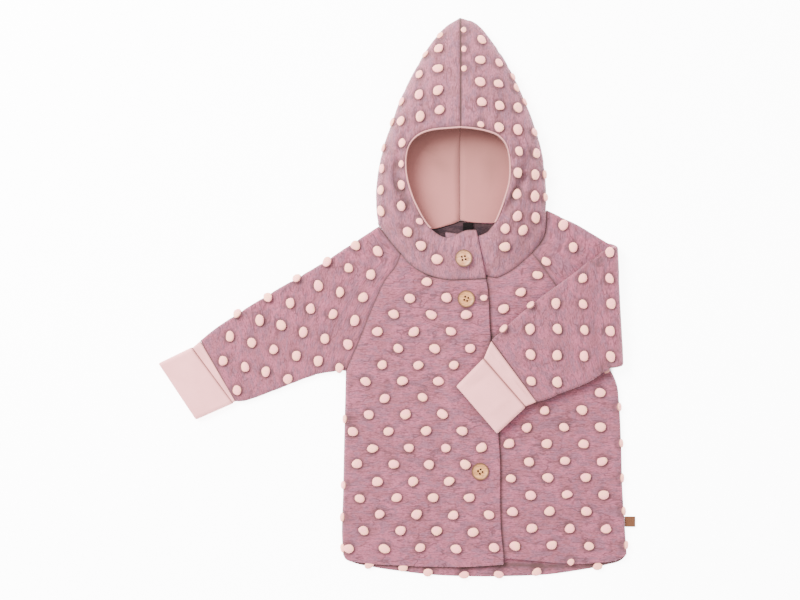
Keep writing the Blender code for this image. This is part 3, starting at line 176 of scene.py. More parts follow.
# ---- sleeves, a row for each ring
# upper edge x, y | lower edge x, y | height of the middle | degrees turned over | seam's bow
RIGHT_SLEEVE_RINGS = [
    (-89, 375, -125.8, 215.6, EDGE_ROLL, 0, 1),
    (-119, 355.5, -146, 214, EDGE_ROLL, 0, 0.35),
    (-152, 334.2, -166, 208.6, EDGE_ROLL, 0, 0.05),
    (-188, 313, -188, 200.2, EDGE_ROLL, 0, 0),
    (-217, 296, -207, 193.2, EDGE_ROLL, 0, 0),
    (-250, 275.6, -227, 185.6, EDGE_ROLL, 0, 0),
    (-276, 257.6, -240, 182.2, EDGE_ROLL, 0, 0),
    (-285.5, 249.2, -247.1, 182.1, EDGE_ROLL, 0, 0)]
UPPER_ARM_RINGS = [
    (95.2, 392.7, 159, 226, EDGE_ROLL, 0, 1),
    (128, 377, 164.6, 225.2, EDGE_ROLL, 0, 0.3)]
FOLD_TOP, FOLD_FOOT, FOLD_STEPS = (163.8, 356.5), (170, 222.8), 12
FOREARM_RINGS = [(121, 320.6, 139.5, 203.4), (77, 288.2, 110.5, 191.6),
                 (48, 262.6, 91, 184), (34.1, 249.7, 83.6, 182.2)]
# shares of a turn round the sleeve: half the underarm edge, the under layer, the shoulder
# edge, the upper layer, the other half of the underarm edge
RING_BREAKS = (0, 0.03, 0.47, 0.53, 0.97, 1)

# ---- cuffs
# place between the lines (0 seam, 1 turned-back edge, 2 free end) | underside | top | widening
CUFF_SKIN = [(0.025, 1.7, 6.4, 0), (0.5, 1.7, 6.8, 0), (0.90, 1.7, 6.7, 0),
             (0.94, 1.65, 6.4, 0.05), (0.965, 1.6, 6.3, 0.1), (0.985, 0.5, 8.1, 0.6),
             (1, 0.1, 8.7, 0.8),
             (1.03, 0, 8.95, 1), (1.1, 0, 8.9, 1), (1.5, 0, 9, 1),
             (1.9, 0, 8.9, 1), (1.97, 0.3, 8.6, 0.9), (1.99, 1, 7.9, 0.5),
             (2, 1.9, 6.9, 0.2), (1.98, 2.6, 6.1, -0.8), (1.92, 3, 5.8, -1.4),
             (1.5, 2.9, 5.9, -1.4), (0.95, 2.9, 5.8, -1.3), (0.025, 2.9, 5.4, -1.2)]
CUFF_RIGHT_LINES = [((-285.5, 248.9), (-247.1, 182.1)), ((-294.8, 240.9), (-249.9, 180.8)),
                    ((-331.1, 223.3), (-290.8, 162.8))]
CUFF_LEFT_LINES = [((34.1, 249.2), (83.6, 182.2)), ((25.3, 228.6), (70.6, 177)),
                   ((-3.9, 198.6), (39.6, 148.1))]


# ---- smooth lines and tables
def flow(knots: Array, values: Array, at: Array) -> Array:
    """Reads a table between its rows along a smooth curve.

    Args:
        knots: Place of each row, rising.
        values: The rows, one for each knot.
        at: Places to read, of any shape.

    Returns:
        The rows read, with the shape of `at` and one more axis.
    """
    knots = np.asarray(knots, float)
    values = np.asarray(values, float)
    at = np.clip(np.asarray(at, float), knots[0], knots[-1])
    steps = np.diff(knots)[:, None]
    slopes = np.diff(values, axis=0) / steps
    inner = (slopes[:-1] * steps[1:] + slopes[1:] * steps[:-1]) / (steps[:-1] + steps[1:])
    tangents = np.vstack([slopes[:1], inner, slopes[-1:]])
    index = np.clip(np.searchsorted(knots, at, side="right") - 1, 0, len(knots) - 2)
    span = np.diff(knots)[index][..., None]
    s = (at - knots[index])[..., None] / span
    return ((2 * s**3 - 3 * s**2 + 1) * values[index]
            + (s**3 - 2 * s**2 + s) * tangents[index] * span
            + (3 * s**2 - 2 * s**3) * values[index + 1]
            + (s**3 - s**2) * tangents[index + 1] * span)


def ease(t: Array) -> Array:
    """A share from 0 to 1 that starts and ends gently."""
    t = np.clip(t, 0.0, 1.0)
    return t * t * (3.0 - 2.0 * t)


def length_of(points: Array) -> float:
    """Length of an open line through points."""
    return float(stations(points)[-1])


def stations(points: Array) -> Array:
    """Distance along an open line to each of its points.

    Args:
        points: The line's points, (n, 2) or (n, 3).

    Returns:
        The distances, from 0.
    """
    steps = np.linalg.norm(np.diff(np.asarray(points, float), axis=0), axis=1)
    return np.concatenate([[0.0], np.cumsum(steps)])


@dataclass(frozen=True)
class Line:
    """A line of one or more smooth stretches that meet at corners."""

    stretches: tuple

    @classmethod
    def through(cls, *stretches: list) -> "Line":
        """A line through lists of points, the end of each the start of the next."""
        return cls(tuple(tuple(map(tuple, points)) for points in stretches))

    def at(self, shares: Array) -> Array:
        """The points at shares of the line's whole length.

        Args:
            shares: Shares of the whole length, from 0 to 1.

        Returns:
            The points, one for each share.
        """
        shares = np.asarray(shares, float)
        lengths = [length_of(points) for points in self.stretches]
        start, total = 0.0, sum(lengths)
        found = np.zeros(shares.shape + (len(self.stretches[0][0]),))
        for points, length in zip(self.stretches, lengths):
            here = (shares * total >= start - 1e-6)
            found[here] = flow(stations(points), points, shares[here] * total - start)
            start += length
        return found


def spaced(length: float, pitch: float, fine: tuple = (0.55, 1.2, 2.0, 3.0)) -> Array:
    """Shares of a length for a grid's lines: close at both ends, then a pitch apart.

    Args:
        length: The length, in millimetres.
        pitch: Distance between two of its lines.
        fine: Distances of the first lines from each end.

    Returns:
        The shares, from 0 to 1.
    """
    ends = np.array((0.0, *fine))
    count = max(2, round((length - 2 * ends[-1]) / pitch))
    middle = np.linspace(ends[-1], length - ends[-1], count + 1)[1:-1]
    return np.concatenate([ends, middle, (length - ends)[::-1]]) / length


def patch(bottom: Line, top: Line, left: Line, right: Line, s: Array,
          t: Array) -> Array:
    """A four-sided patch of points between its side lines.

    Args:
        bottom, top: Lines from left to right.
        left, right: Lines from bottom to top.
        s, t: Shares across and up.

    Returns:
        Points of shape (len(t), len(s), 2).
    """
    low, high, near, far = bottom.at(s), top.at(s), left.at(t), right.at(t)
    across, up = s[None, :, None], t[:, None, None]
    ruled = (1 - up) * low[None] + up * high[None]
    ruled = ruled + (1 - across) * near[:, None] + across * far[:, None]
    corners = ((1 - across) * (1 - up) * low[0] + across * (1 - up) * low[-1]
               + (1 - across) * up * high[0] + across * up * high[-1])
    return ruled - corners


class SoftNoise:
    """Smooth random heights in space, the same for the same seed."""

    def __init__(self, seed: int, pitch: float) -> None:
        """Draws the lattice of values."""
        self.pitch = pitch
        self.values = np.random.default_rng(seed).uniform(-1.0, 1.0, (32, 32, 32))

    def at(self, points: Array) -> Array:
        """Values from -1 to 1 at points of shape (..., 3).

        Args:
            points: The points, of shape (..., 3).

        Returns:
            A value for each point.
        """
        place = points / self.pitch
        whole = np.floor(place).astype(int)
        share = ease(place - whole)
        total = np.zeros(points.shape[:-1])
        for corner in range(8):
            step = np.array([corner & 1, corner >> 1 & 1, corner >> 2 & 1])
            cell = (whole + step) % 32
            weight = np.prod(np.where(step, share, 1.0 - share), axis=-1)
            total += weight * self.values[cell[..., 0], cell[..., 1], cell[..., 2]]
        return total


def distance_to(line: Array, points: Array) -> tuple[Array, Array]:
    """Distance from points to an open line seen from above, and the share along it.

    Args:
        line: The line's points.
        points: Where, of shape (..., 2).

    Returns:
        The distances and the shares.
    """
    best = np.full(points.shape[:-1], 1e9)
    along = np.zeros(points.shape[:-1])
    count = len(line) - 1
    for index in range(count):
        a, b = line[index], line[index + 1]
        reach = b - a
        t = np.clip(((points - a) @ reach) / max(1e-9, reach @ reach), 0.0, 1.0)
        gap = np.linalg.norm(points - (a + t[..., None] * reach), axis=-1)
        closer = gap < best
        best = np.where(closer, gap, best)
        along = np.where(closer, (index + t) / count, along)
    return best, along


# ---- surfaces, as in the solids
class Surface:
    """A sheet's outer face over its own (u, v)."""

    def at(self, u: Array, v: Array) -> Array:
        """Points of shape (..., 3), in millimetres."""
        raise NotImplementedError

    def normals(self, u: Array, v: Array, side: float) -> Array:
        """Outward directions there.

        Args:
            u, v: Where on the surface.
            side: 1, or -1 where u and v run the other way round.

        Returns:
            A direction of length 1 for each point.
        """
        step = 0.4
        along_u = self.at(u + step, v) - self.at(u - step, v)
        along_v = self.at(u, v + step) - self.at(u, v - step)
        normal = np.cross(along_u, along_v) * side
        return normal / np.maximum(1e-9, np.linalg.norm(normal, axis=-1, keepdims=True))


class FlatSurface(Surface):
    """A panel that lies flat at one height."""

    def __init__(self, height: float) -> None:
        """Keeps the height."""
        self.height = height

    def at(self, u: Array, v: Array) -> Array:
        """Points at one height."""
        return np.stack([u, v, np.full_like(u, self.height)], axis=-1)


class FrontSurface(Surface):
    """A front: flat, rising over the lap, sinking at the hem, rolled down at its side."""

    def __init__(self, side_line: list, side: int, laps_over: bool) -> None:
        """Keeps the side seam's line, its side and whether this front lies on top.

        Args:
            side_line: The side seam's line.
            side: 1 for the side at the viewer's right and -1 for the other.
            laps_over: Whether this front lies on top.
        """
        self.side_y = np.array([y for _, y in side_line[::-1]])
        self.side_x = np.array([[x] for x, _ in side_line[::-1]])
        self.side = side
        self.laps_over = laps_over

    def edge(self, y: Array) -> Array:
        """The side seam's x at heights y."""
        return flow(self.side_y, self.side_x, y)[..., 0]

    def top(self, x: Array, y: Array) -> Array:
        """Height of the panel's face.

        Args:
            x, y: Where, seen from above.

        Returns:
            The heights.
        """
        rise = 0.0
        if self.laps_over:
            under_edge = lap_x(y) - LAP
            rise = LAP_RISE * ease((x - under_edge + LAP_SLOPE + 2.0) / LAP_SLOPE)
        return LAID + rise - HEM_DIP * ease(1.0 - y / HEM_DIP_REACH)

    def at(self, u: Array, v: Array) -> Array:
        """Points of the panel, flat or on the roll at its side.

        Args:
            u, v: Where on the surface.

        Returns:
            The points, of shape (..., 3).
        """
        edge = self.edge(v)
        into = (edge - u) * self.side
        turned = np.clip((FRONT_ROLL - into) / FRONT_ROLL, 0.0, 1.6)
        rolled_x = edge - self.side * FRONT_ROLL * (1.0 - np.sin(turned))
        x = np.where(into >= FRONT_ROLL, u, rolled_x)
        top = self.top(x, v)
        z = np.where(into >= FRONT_ROLL, top, FRONT_FOOT + (top - FRONT_FOOT) * np.cos(turned))
        return np.stack([x, v, z], axis=-1)

    def unrolled(self, plan: Array) -> Array:
        """The panel's own (u, v) for points seen from above.

        Args:
            plan: The points, of shape (..., 2).

        Returns:
            Their (u, v).
        """
        edge = self.edge(plan[..., 1])
        into = (edge - plan[..., 0]) * self.side
        into = np.where(into < 0.7, 0.0, into)
        turned = np.arcsin(np.clip(1.0 - into / FRONT_ROLL, 0.0, 1.0))
        u = edge - self.side * FRONT_ROLL * (1.0 - turned)
        return np.stack([np.where(into >= FRONT_ROLL, plan[..., 0], u), plan[..., 1]], axis=-1)


def lap_x(y: Array) -> Array:
    """The lap edge's x at heights y."""
    rows = LAP_EDGE[::-1]
    return flow(np.array([r[1] for r in rows]), np.array([[r[0]] for r in rows]), y)[..., 0]


def fold_rings() -> list:
    """The left sleeve's rings: upper arm, fold and forearm.

    Returns:
        The rings, from the shoulder to the wrist.
    """
    rings = list(UPPER_ARM_RINGS)
    for step in range(FOLD_STEPS + 1):
        turned = math.pi * step / FOLD_STEPS
        out = FOLD_RADIUS * math.sin(turned)
        drop = FOLD_DROP * step / FOLD_STEPS
        rings.append((FOLD_TOP[0] + out, FOLD_TOP[1] - drop, FOLD_FOOT[0] + out,
                      FOLD_FOOT[1] - drop * 0.5, FOLD_HEIGHT - FOLD_RADIUS * math.cos(turned),
                      math.degrees(turned), 0.0))
    fold_end = FOLD_HEIGHT + FOLD_RADIUS
    return rings + [ring + (fold_end, 180.0, 0.0) for ring in FOREARM_RINGS]


class TubeSurface(Surface):
    """A sleeve: u is the share of a turn round it, times 100; v the distance along it."""

    def __init__(self, rings: list, seam: Line) -> None:
        """Works out the place of each ring along the sleeve.

        Args:
            rings: The rings, from one end to the other.
            seam: The line of the sleeve's seam, whose bow its rings follow.
        """
        self.rings = np.array(rings, float)
        middles = np.column_stack([(self.rings[:, 0] + self.rings[:, 2]) / 2,
                                   (self.rings[:, 1] + self.rings[:, 3]) / 2, self.rings[:, 4]])
        self.stations = stations(middles)
        self.length = float(self.stations[-1])
        self.seam = seam

    def cut(self, along: Array) -> tuple[float, float]:
        """The cloth's flat width and length in metres, with its slanting ends.

        Args:
            along: Distances along the sleeve.

        Returns:
            Twice its greatest breadth square to its run, and its run with its ends' slants.
        """
        ring = flow(self.stations, self.rings, along)
        flat = np.zeros((len(along), 1))
        chord = np.concatenate([ring[:, 2:4] - ring[:, 0:2], flat], axis=1)
        middle = np.concatenate([(ring[:, 0:2] + ring[:, 2:4]) / 2, ring[:, 4:5]], axis=1)
        way = np.gradient(middle, along, axis=0)
        way /= np.linalg.norm(way, axis=1, keepdims=True)
        across = np.linalg.norm(np.cross(way, chord), axis=1)
        slant = np.abs((way * chord).sum(axis=1))
        run = along[-1] - along[0] + (slant[0] + slant[-1]) / 2
        return 2.0 * float(across.max()) * MM, float(run) * MM

    def at(self, u: Array, v: Array) -> Array:
        """Points round the flattened rings.

        Args:
            u, v: Where on the surface.

        Returns:
            The points, of shape (..., 3).
        """
        ring = flow(self.stations, self.rings, v)
        upper, lower = ring[..., 0:2], ring[..., 2:4]
        bow = np.clip(ring[..., 6], 0.0, 1.0)[..., None]
        turned = np.radians(ring[..., 5])
        width = np.linalg.norm(lower - upper, axis=-1)
        across, above = ring_section(np.mod(u / 100.0, 1.0), width)
        share = across / width
        plan = upper + (lower - upper) * share[..., None]
        first, last = self.seam.at(np.array([0.0, 1.0]))
        straight = first + (last - first) * share[..., None]
        plan = plan + (self.seam.at(np.clip(share, 0.0, 1.0)) - straight) * bow
        return np.stack([plan[..., 0] - np.sin(turned) * above, plan[..., 1],
                         ring[..., 4] + np.cos(turned) * above], axis=-1)


def ring_section(turn: Array, width: Array) -> tuple[Array, Array]:
    """Distance across a flattened ring and height above its middle, at shares of a turn.

    Args:
        turn: The shares of a turn.
        width: The ring's width.

    Returns:
        The distances and the heights.
    """
    b, r = RING_BREAKS, EDGE_ROLL

    def part(index: int) -> Array:
        return (turn - b[index]) / (b[index + 1] - b[index])

    low, high = np.pi / 2 * (1.0 + part(0)), np.pi / 2 * part(4)
    half = np.pi * part(2)
    flat = width - 2 * r
    within = [turn < b[1], turn < b[2], turn < b[3], turn < b[4]]
    across = np.select(within, [width - r + r * np.sin(low), width - r - flat * part(1),
                                r - r * np.sin(half), r + flat * part(3)],
                       width - r + r * np.sin(high))
    above = np.select(within, [r * np.cos(low), -r + 0 * turn, -r * np.cos(half), r + 0 * turn],
                      r * np.cos(high))
    return across, above


class HoodSurface(Surface):
    """Half of the hood and its collar: u counts rays times 13, v runs out from the brim."""

    ray_step = 13.0

    def __init__(self, rays: list) -> None:
        """Keeps the rays, and the sign of x on this half."""
        self.rays = np.array(rays, float)
        self.sign = math.copysign(1.0, rays[1][0])

    def ray(self, u: Array) -> Array:
        """The table's rows at places between its rays."""
        return flow(np.arange(len(self.rays)), self.rays, u / self.ray_step)

    def at(self, u: Array, v: Array) -> Array:
        """Points over the crown, round the turn at the rim and beneath.

        Args:
            u, v: Where on the surface.

        Returns:
            The points, of shape (..., 3).
        """
        ray = self.ray(u)
        brim, rim = ray[..., 0:2], ray[..., 3:5]
        reach = np.linalg.norm(rim - brim, axis=-1)
        outward = (rim - brim) / reach[..., None]
        rim = rim - outward * SEAM_PULL
        t = np.clip(v / CROWN_RUN, 0.0, 1.0)
        run = reach * t
        arch = (1.0 - t ** CROWN_POWER) ** (1.0 / CROWN_POWER)
        eased = 0.85 * ease((u / self.ray_step - 10.5) / 2.5) * ease((t - 0.45) / 0.4)
        arch = arch + (1.0 - t ** CROWN_POWER - arch) * eased
        height = ray[..., 5] + (ray[..., 2] - ray[..., 5]) * arch
        height = height - BRIM_TUCK * np.exp(-run / BRIM_TUCK_REACH) * arch
        crease = np.exp(-((run - ray[..., 7]) / CREASE_BREADTH) ** 2)
        height = height - ray[..., 8] * crease * arch
        crown = brim + (rim - brim) * t[..., None]

        radius = ray[..., 5]
        angle = np.clip((v - CROWN_RUN) / TURN_RUN, 0.0, 1.0) * np.pi / 2
        turned = rim - outward * (radius * (1.0 - np.cos(angle)))[..., None]
        share = np.clip((v - CROWN_RUN - TURN_RUN) / UNDER_RUN, 0.0, 1.0)[..., None]
        start = rim - outward * radius[..., None]
        middle = np.stack([0.0 * v, ray[..., 6]], axis=-1)
        beneath = start + (middle - start) * share
        on_crown, on_turn = v <= CROWN_RUN, v <= CROWN_RUN + TURN_RUN
        plan = np.where(on_crown[..., None], crown, np.where(on_turn[..., None], turned, beneath))
        z = np.where(on_crown, height, np.where(on_turn, radius * (1.0 - np.sin(angle)), 0.0))
        least = SEAM_PULL + SEAM_FLARE * u
        clear = (u <= NECK_RAY * self.ray_step + 1.0) & (plan[..., 0] * self.sign < least)
        x = np.where(clear, self.sign * least, plan[..., 0])
        return np.stack([x, plan[..., 1], z], axis=-1)


class LiningSurface(Surface):
    """The jersey bag in half of the hood, sewn to its brim and lying on its back."""

    def __init__(self, hood: HoodSurface) -> None:
        """Keeps the hood half that carries it."""
        self.hood = hood
        self.rows = np.array(LINING_ROWS, float)

    def at(self, u: Array, v: Array) -> Array:
        """Points down the brim, round the bag and over its floor.

        Args:
            u, v: Where on the surface.

        Returns:
            The points, of shape (..., 3).
        """
        ray = self.hood.ray(u)
        row = flow(np.arange(len(self.rows)), self.rows, u / self.hood.ray_step)
        brim = ray[..., 0:2]
        outward = ray[..., 3:5] - brim
        outward = outward / np.linalg.norm(outward, axis=-1, keepdims=True)
        edge = brim - outward * SEAM_PULL * 2
        top = ray[..., 2] - BRIM_TUCK - LINING_PIPE
        drop = top - LINING_DROP * np.clip(v / DROP_RUN, 0.0, 1.0)
        lower = top - LINING_DROP
        angle = np.clip((v - DROP_RUN) / BAG_RUN, 0.0, 1.0) * np.pi
        out = np.abs(np.sin(angle)) ** (2.0 / LINING_POWER) * row[..., 0]
        lift = np.copysign(np.abs(np.cos(angle)) ** (2.0 / LINING_POWER), np.cos(angle))
        bag_z = LINING_FLOOR + (lower - LINING_FLOOR) / 2.0 * (1.0 + lift)
        bag = edge + outward * out[..., None]
        share = np.clip((v - DROP_RUN - BAG_RUN) / FLOOR_RUN, 0.0, 1.0)[..., None]
        middle = np.stack([0.0 * v, row[..., 1]], axis=-1)
        floor = edge + (middle - edge) * share
        on_drop, on_bag = v <= DROP_RUN, v <= DROP_RUN + BAG_RUN
        plan = np.where(on_drop[..., None], edge, np.where(on_bag[..., None], bag, floor))
        z = np.where(on_drop, drop, np.where(on_bag, bag_z, LINING_FLOOR))
        sign = self.hood.sign
        least = SEAM_PULL + SEAM_FLARE * u
        clear = (u <= NECK_RAY * self.hood.ray_step + 1.0) & (plan[..., 0] * sign < least)
        x = np.where(clear, sign * least, plan[..., 0])
        return np.stack([x, plan[..., 1], z], axis=-1)


# ---- placing in the frame
def garment_shift() -> Array:
    """From the garment's own zero to the frame's, in millimetres, by the middle button.

    Returns:
        The shift.
    """
    low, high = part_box("button_middle")
    middle = (low + high) / 2.0 / MM
    return np.array([middle.x - BUTTON_MIDDLE_PLACE[0], middle.y - BUTTON_MIDDLE_PLACE[1], 0.0])


SHIFT = garment_shift()


def in_frame(points: Array) -> Array:
    """Garment millimetres as the frame's metres."""
    return (np.asarray(points, float) + SHIFT) * MM


# ---- felt bobbles
@dataclass(frozen=True)
class Bobble:
    """A felt bobble: its foot's middle, way up, long way, half length and half width."""

    foot: tuple
    up: tuple
    long_way: tuple
    half_long: float
    half_wide: float
    high: float


BOBBLE_LONG, BOBBLE_SHORT, BOBBLE_HIGH = 6.2, 5.3, 3.0
BOBBLE_LEAST, BOBBLE_MOST = 1.75, 3.5   # heights off the form that a bobble's top can have
# a bobble's outline, shares of its radius and height, from its foot in the cloth to its top
BOBBLE_OUTLINE = [(0.84, -0.35), (0.97, 0.10), (1.0, 0.42), (0.86, 0.80), (0.50, 0.98)]
BOBBLE_SIDES = 14


def bobbles_on(node: str, plain: Array, outward: Array,
               long_ways: Array) -> list[Bobble]:
    """Finds the felt bobbles that a node's solid carries: the tops that stand off its form.

    Args:
        node: Name of the CAD node.
        plain: Points of the cloth's plain form, (n, 3).
        outward: The outward direction at each.
        long_ways: The way that a bobble's longer side runs at each.

    Returns:
        The bobbles, in garment millimetres.
    """
    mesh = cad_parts[node].data
    raw = np.array([v.co for v in mesh.vertices], float) / MM - SHIFT
    spots: dict = {}
    weld = [spots.setdefault(tuple(np.round(p, 2)), len(spots)) for p in raw]
    place = np.zeros((len(spots), 3))
    place[weld] = raw
    near: list[set] = [set() for _ in spots]
    for edge in mesh.edges:
        a, b = (weld[i] for i in edge.vertices)
        near[a].add(b)
        near[b].add(a)
    tree = tree_of(plain)
    under = [tree.find(point)[1] for point in place]
    off = ((place - plain[under]) * outward[under]).sum(axis=1)
    gap = np.linalg.norm(place - plain[under] - off[:, None] * outward[under], axis=1)
    found = []
    for index, height in enumerate(off):
        if not (BOBBLE_LEAST < height < BOBBLE_MOST and gap[index] < 2.5):
            continue
        if any(off[other] > height - 0.15 for other in near[index] if other != index):
            continue
        scale = height / BOBBLE_HIGH
        up = outward[under[index]]
        found.append(Bobble(tuple(place[index] - up * height), tuple(up),
                            tuple(long_ways[under[index]]), BOBBLE_LONG * scale,
                            BOBBLE_SHORT * scale, height))
    kept: list[Bobble] = []
    for bobble in sorted(found, key=lambda b: (-round(b.high, 2), b.foot)):
        if all(math.dist(bobble.foot, other.foot) > BOBBLE_LONG for other in kept):
            kept.append(bobble)
    kept.sort(key=lambda b: (round(b.foot[1], 1), round(b.foot[0], 1)))
    return kept


# ---- walls from grids
class Finish(Enum):
    """Which of a piece's materials a face takes."""

    CLOTH = 0
    FELT = 1
    # the wool's reverse side, with painted shade in its dark colour
    REVERSE = 2


class WallBuilder:
    """Collects the faces of one closed wall of cloth and makes its mesh."""

    def __init__(self) -> None:
        """Starts empty."""
        self.points: list[Array] = []
        self.painted_shade: list[Array] = []
        self.total = 0
        self.faces: list[tuple[Array, Array, int]] = []

    def add_points(self, points: Array, tint: Array | float = 0.0) -> Array:
        """Adds points and returns their numbers, with the shape of the grid they came in.

        Args:
            points: The points, as a grid of shape (..., 3).
            tint: How much painted shade each point takes.

        Returns:
            Their numbers.
        """
        flat = points.reshape(-1, 3)
        self.points.append(flat)
        self.painted_shade.append(np.broadcast_to(tint, points.shape[:-1]).reshape(-1).astype(float))
        numbers = np.arange(self.total, self.total + len(flat)).reshape(points.shape[:-1])
        self.total += len(flat)
        return numbers

    def add_faces(self, corners: Array, uv: Array, finish: Finish) -> None:
        """Adds faces of three or four corners each with the cloth places of their corners."""
        if len(corners):
            self.faces.append((corners, uv, finish.value))

    def add_grid(self, index: Array, uv: Array, finish: Finish, flip: bool) -> None:
        """Adds a grid's squares.

        Args:
            index: Point numbers, (rows, columns).
            uv: Place on the cloth of each point, (rows, columns, 2).
            finish: The faces' finish.
            flip: Whether the faces turn the other way.
        """
        quads = np.stack([index[:-1, :-1], index[:-1, 1:], index[1:, 1:], index[1:, :-1]], -1)
        places = np.stack([uv[:-1, :-1], uv[:-1, 1:], uv[1:, 1:], uv[1:, :-1]], -2)
        quads, places = quads.reshape(-1, 4), places.reshape(-1, 4, 2)
        if flip:
            quads, places = quads[:, ::-1], places[:, ::-1]
        same = (quads == np.roll(quads, -1, axis=1))
        whole = ~same.any(axis=1)
        self.add_faces(quads[whole], places[whole], finish)
        for corner in range(4):
            cut = same[:, corner]
            keep = [c for c in range(4) if c != corner]
            self.add_faces(quads[cut][:, keep], places[cut][:, keep], finish)

    def add_rim(self, outer: Array, inner: Array, uv: Array, every: list,
                finish: Finish, flip: bool) -> None:
        """Joins a fine outer edge to a coarse inner one.

        Args:
            outer: Point numbers along the outer edge.
            inner: Point numbers along the inner edge, one for each of `every`.
            uv: Place on the cloth of each outer point.
            every: Which outer points the inner ones stand beneath.
            finish: The faces' finish.
            flip: Whether the faces turn the other way.
        """
        if len(every) < 2:
            return
        triangles, places = [], []
        for step in range(len(every) - 1):
            start, stop = every[step], every[step + 1]
            half = (start + stop) // 2
            for k in range(start, stop):
                foot = inner[step] if k < half else inner[step + 1]
                triangles.append((outer[k], outer[k + 1], foot))
                places.append((uv[k], uv[k + 1], uv[k]))
            triangles.append((inner[step], outer[half], inner[step + 1]))
            places.append((uv[start], uv[half], uv[stop]))
        corners, spots = np.array(triangles), np.array(places)
        if flip:
            corners, spots = corners[:, ::-1], spots[:, ::-1]
        self.add_faces(corners, spots, finish)

    def add_bobble(self, bobble: Bobble, chance: np.random.Generator) -> None:
        """Adds a closed felt bobble, each a little uneven in its own way.

        Args:
            bobble: The bobble.
            chance: The source of random numbers.
        """
        up, long_way = np.array(bobble.up), np.array(bobble.long_way)
        long_way = long_way - up * (long_way @ up)
        long_way /= np.linalg.norm(long_way)
        wide_way = np.cross(up, long_way)
        angles = 2 * np.pi * np.arange(BOBBLE_SIDES) / BOBBLE_SIDES
        uneven = np.ones(BOBBLE_SIDES)
        for turns, size in ((2, 0.065), (3, 0.055), (4, 0.035), (5, 0.02)):
            uneven += chance.uniform(0.2, 1.0) * size * np.cos(
                turns * angles + chance.uniform(0, 2 * np.pi))
        lean = chance.uniform(-0.4, 0.4, 2)
        turn = chance.uniform(-0.45, 0.45)
        long_way, wide_way = (long_way * math.cos(turn) + wide_way * math.sin(turn),
                              wide_way * math.cos(turn) - long_way * math.sin(turn))
        rings = []
        for radius, height in BOBBLE_OUTLINE:
            own = 1.0 + (uneven - 1.0) * min(1.0, radius / 0.8)
            a = np.cos(angles) * bobble.half_long * 0.95 * radius * own + lean[0] * height
            b = np.sin(angles) * bobble.half_wide * 0.92 * radius * own + lean[1] * height
            z = bobble.high * height * (1.0 + 0.05 * np.cos(angles + lean[0] * 9.0))
            rings.append(np.array(bobble.foot) + a[:, None] * long_way + b[:, None] * wide_way
                         + z[:, None] * up)
        top = np.array(bobble.foot) + up * bobble.high * 1.02 + lean[0] * long_way
        foot = np.array(bobble.foot) - up * bobble.high * 0.45
        shade = chance.uniform(0.0, 1.0)
        heights = np.array([h for _, h in BOBBLE_OUTLINE])
        # tint: height up the bobble, whose low values paint shade at its foot, with a little
        # random tone per bobble
        tint = shade * 0.12 + np.clip(heights, 0.0, 1.0)[:, None] * np.ones(BOBBLE_SIDES)
        numbers = self.add_points(np.array(rings), tint)
        peak = self.add_points(top[None], shade * 0.12 + 1.0)[0]
        root = self.add_points(foot[None], shade * 0.12)[0]
        loop = np.concatenate([numbers, numbers[:, :1]], axis=1)
        spot = np.zeros(loop.shape + (2,)) + np.array(bobble.foot[0:2])
        self.add_grid(loop, spot, Finish.FELT, False)
        ends = [(loop[-1, k], loop[-1, k + 1], peak) for k in range(BOBBLE_SIDES)]
        ends += [(loop[0, k + 1], loop[0, k], root) for k in range(BOBBLE_SIDES)]
        places = np.zeros((len(ends), 3, 2)) + np.array(bobble.foot[0:2])
        self.add_faces(np.array(ends), places, Finish.FELT)

    def make(self, name: str, materials: list) -> Piece:
        """Makes the object, in the frame's metres, with its cloth places and each point's painted
        shade.

        Args:
            name: Its name.
            materials: Its materials, in the order of the faces' numbers.

        Returns:
            The object.
        """
        mesh = bpy.data.meshes.new(name)
        points = in_frame(np.concatenate(self.points))
        mesh.vertices.add(len(points))
        mesh.vertices.foreach_set("co", points.astype(np.float32).ravel())
        sizes = np.concatenate([np.full(len(f), f.shape[1]) for f, _, _ in self.faces])
        mesh.loops.add(int(sizes.sum()))
        mesh.polygons.add(len(sizes))
        corners = np.concatenate([numbers.ravel() for numbers, _, _ in self.faces])
        mesh.loops.foreach_set("vertex_index", corners)
        mesh.polygons.foreach_set("loop_start", np.concatenate([[0], np.cumsum(sizes)[:-1]]))
        mesh.polygons.foreach_set("loop_total", sizes)
        finishes = np.concatenate([np.full(len(f), kind) for f, _, kind in self.faces])
        mesh.polygons.foreach_set("material_index", finishes)
        mesh.polygons.foreach_set("use_smooth", np.ones(len(sizes), bool))
        mesh.update(calc_edges=True)
        layer = mesh.uv_layers.new(name="cloth")
        places = np.concatenate([uv.reshape(-1, 2) for _, uv, _ in self.faces]) * MM
        layer.data.foreach_set("uv", places.astype(np.float32).ravel())
        # the tint attribute carries each point's painted shade to the materials
        tint = mesh.attributes.new("tint", "FLOAT", "POINT")
        tint.data.foreach_set("value", np.concatenate(self.painted_shade).astype(np.float32))
        for material in materials:
            mesh.materials.append(material)
        piece = bpy.data.objects.new(name, mesh)
        bpy.context.scene.collection.objects.link(piece)
        return piece


def coarse(count: int, step: int) -> list[int]:
    """Every few numbers from 0 to count - 1, both ends kept."""
    return sorted(set(range(0, count, step)) | {count - 1})


# ---- relief
@dataclass(frozen=True)
class Crease:
    """A soft trough in the cloth, or a ridge where its depth is below zero, seen from above."""

    points: tuple
    depth: float
    breadth: float

    def height(self, plan: Array) -> Array:
        """How much it lowers the cloth at points seen from above.

        Args:
            plan: Places seen from above, of shape (..., 2).

        Returns:
            The change of height at each.
        """
        gap, along = distance_to(np.array(self.points, float), plan)
        ends = np.clip(np.sin(np.pi * np.clip(along, 0.02, 0.98)), 0.0, 1.0) ** 0.6
        return -self.depth * ends * np.exp(-(gap / self.breadth) ** 2)


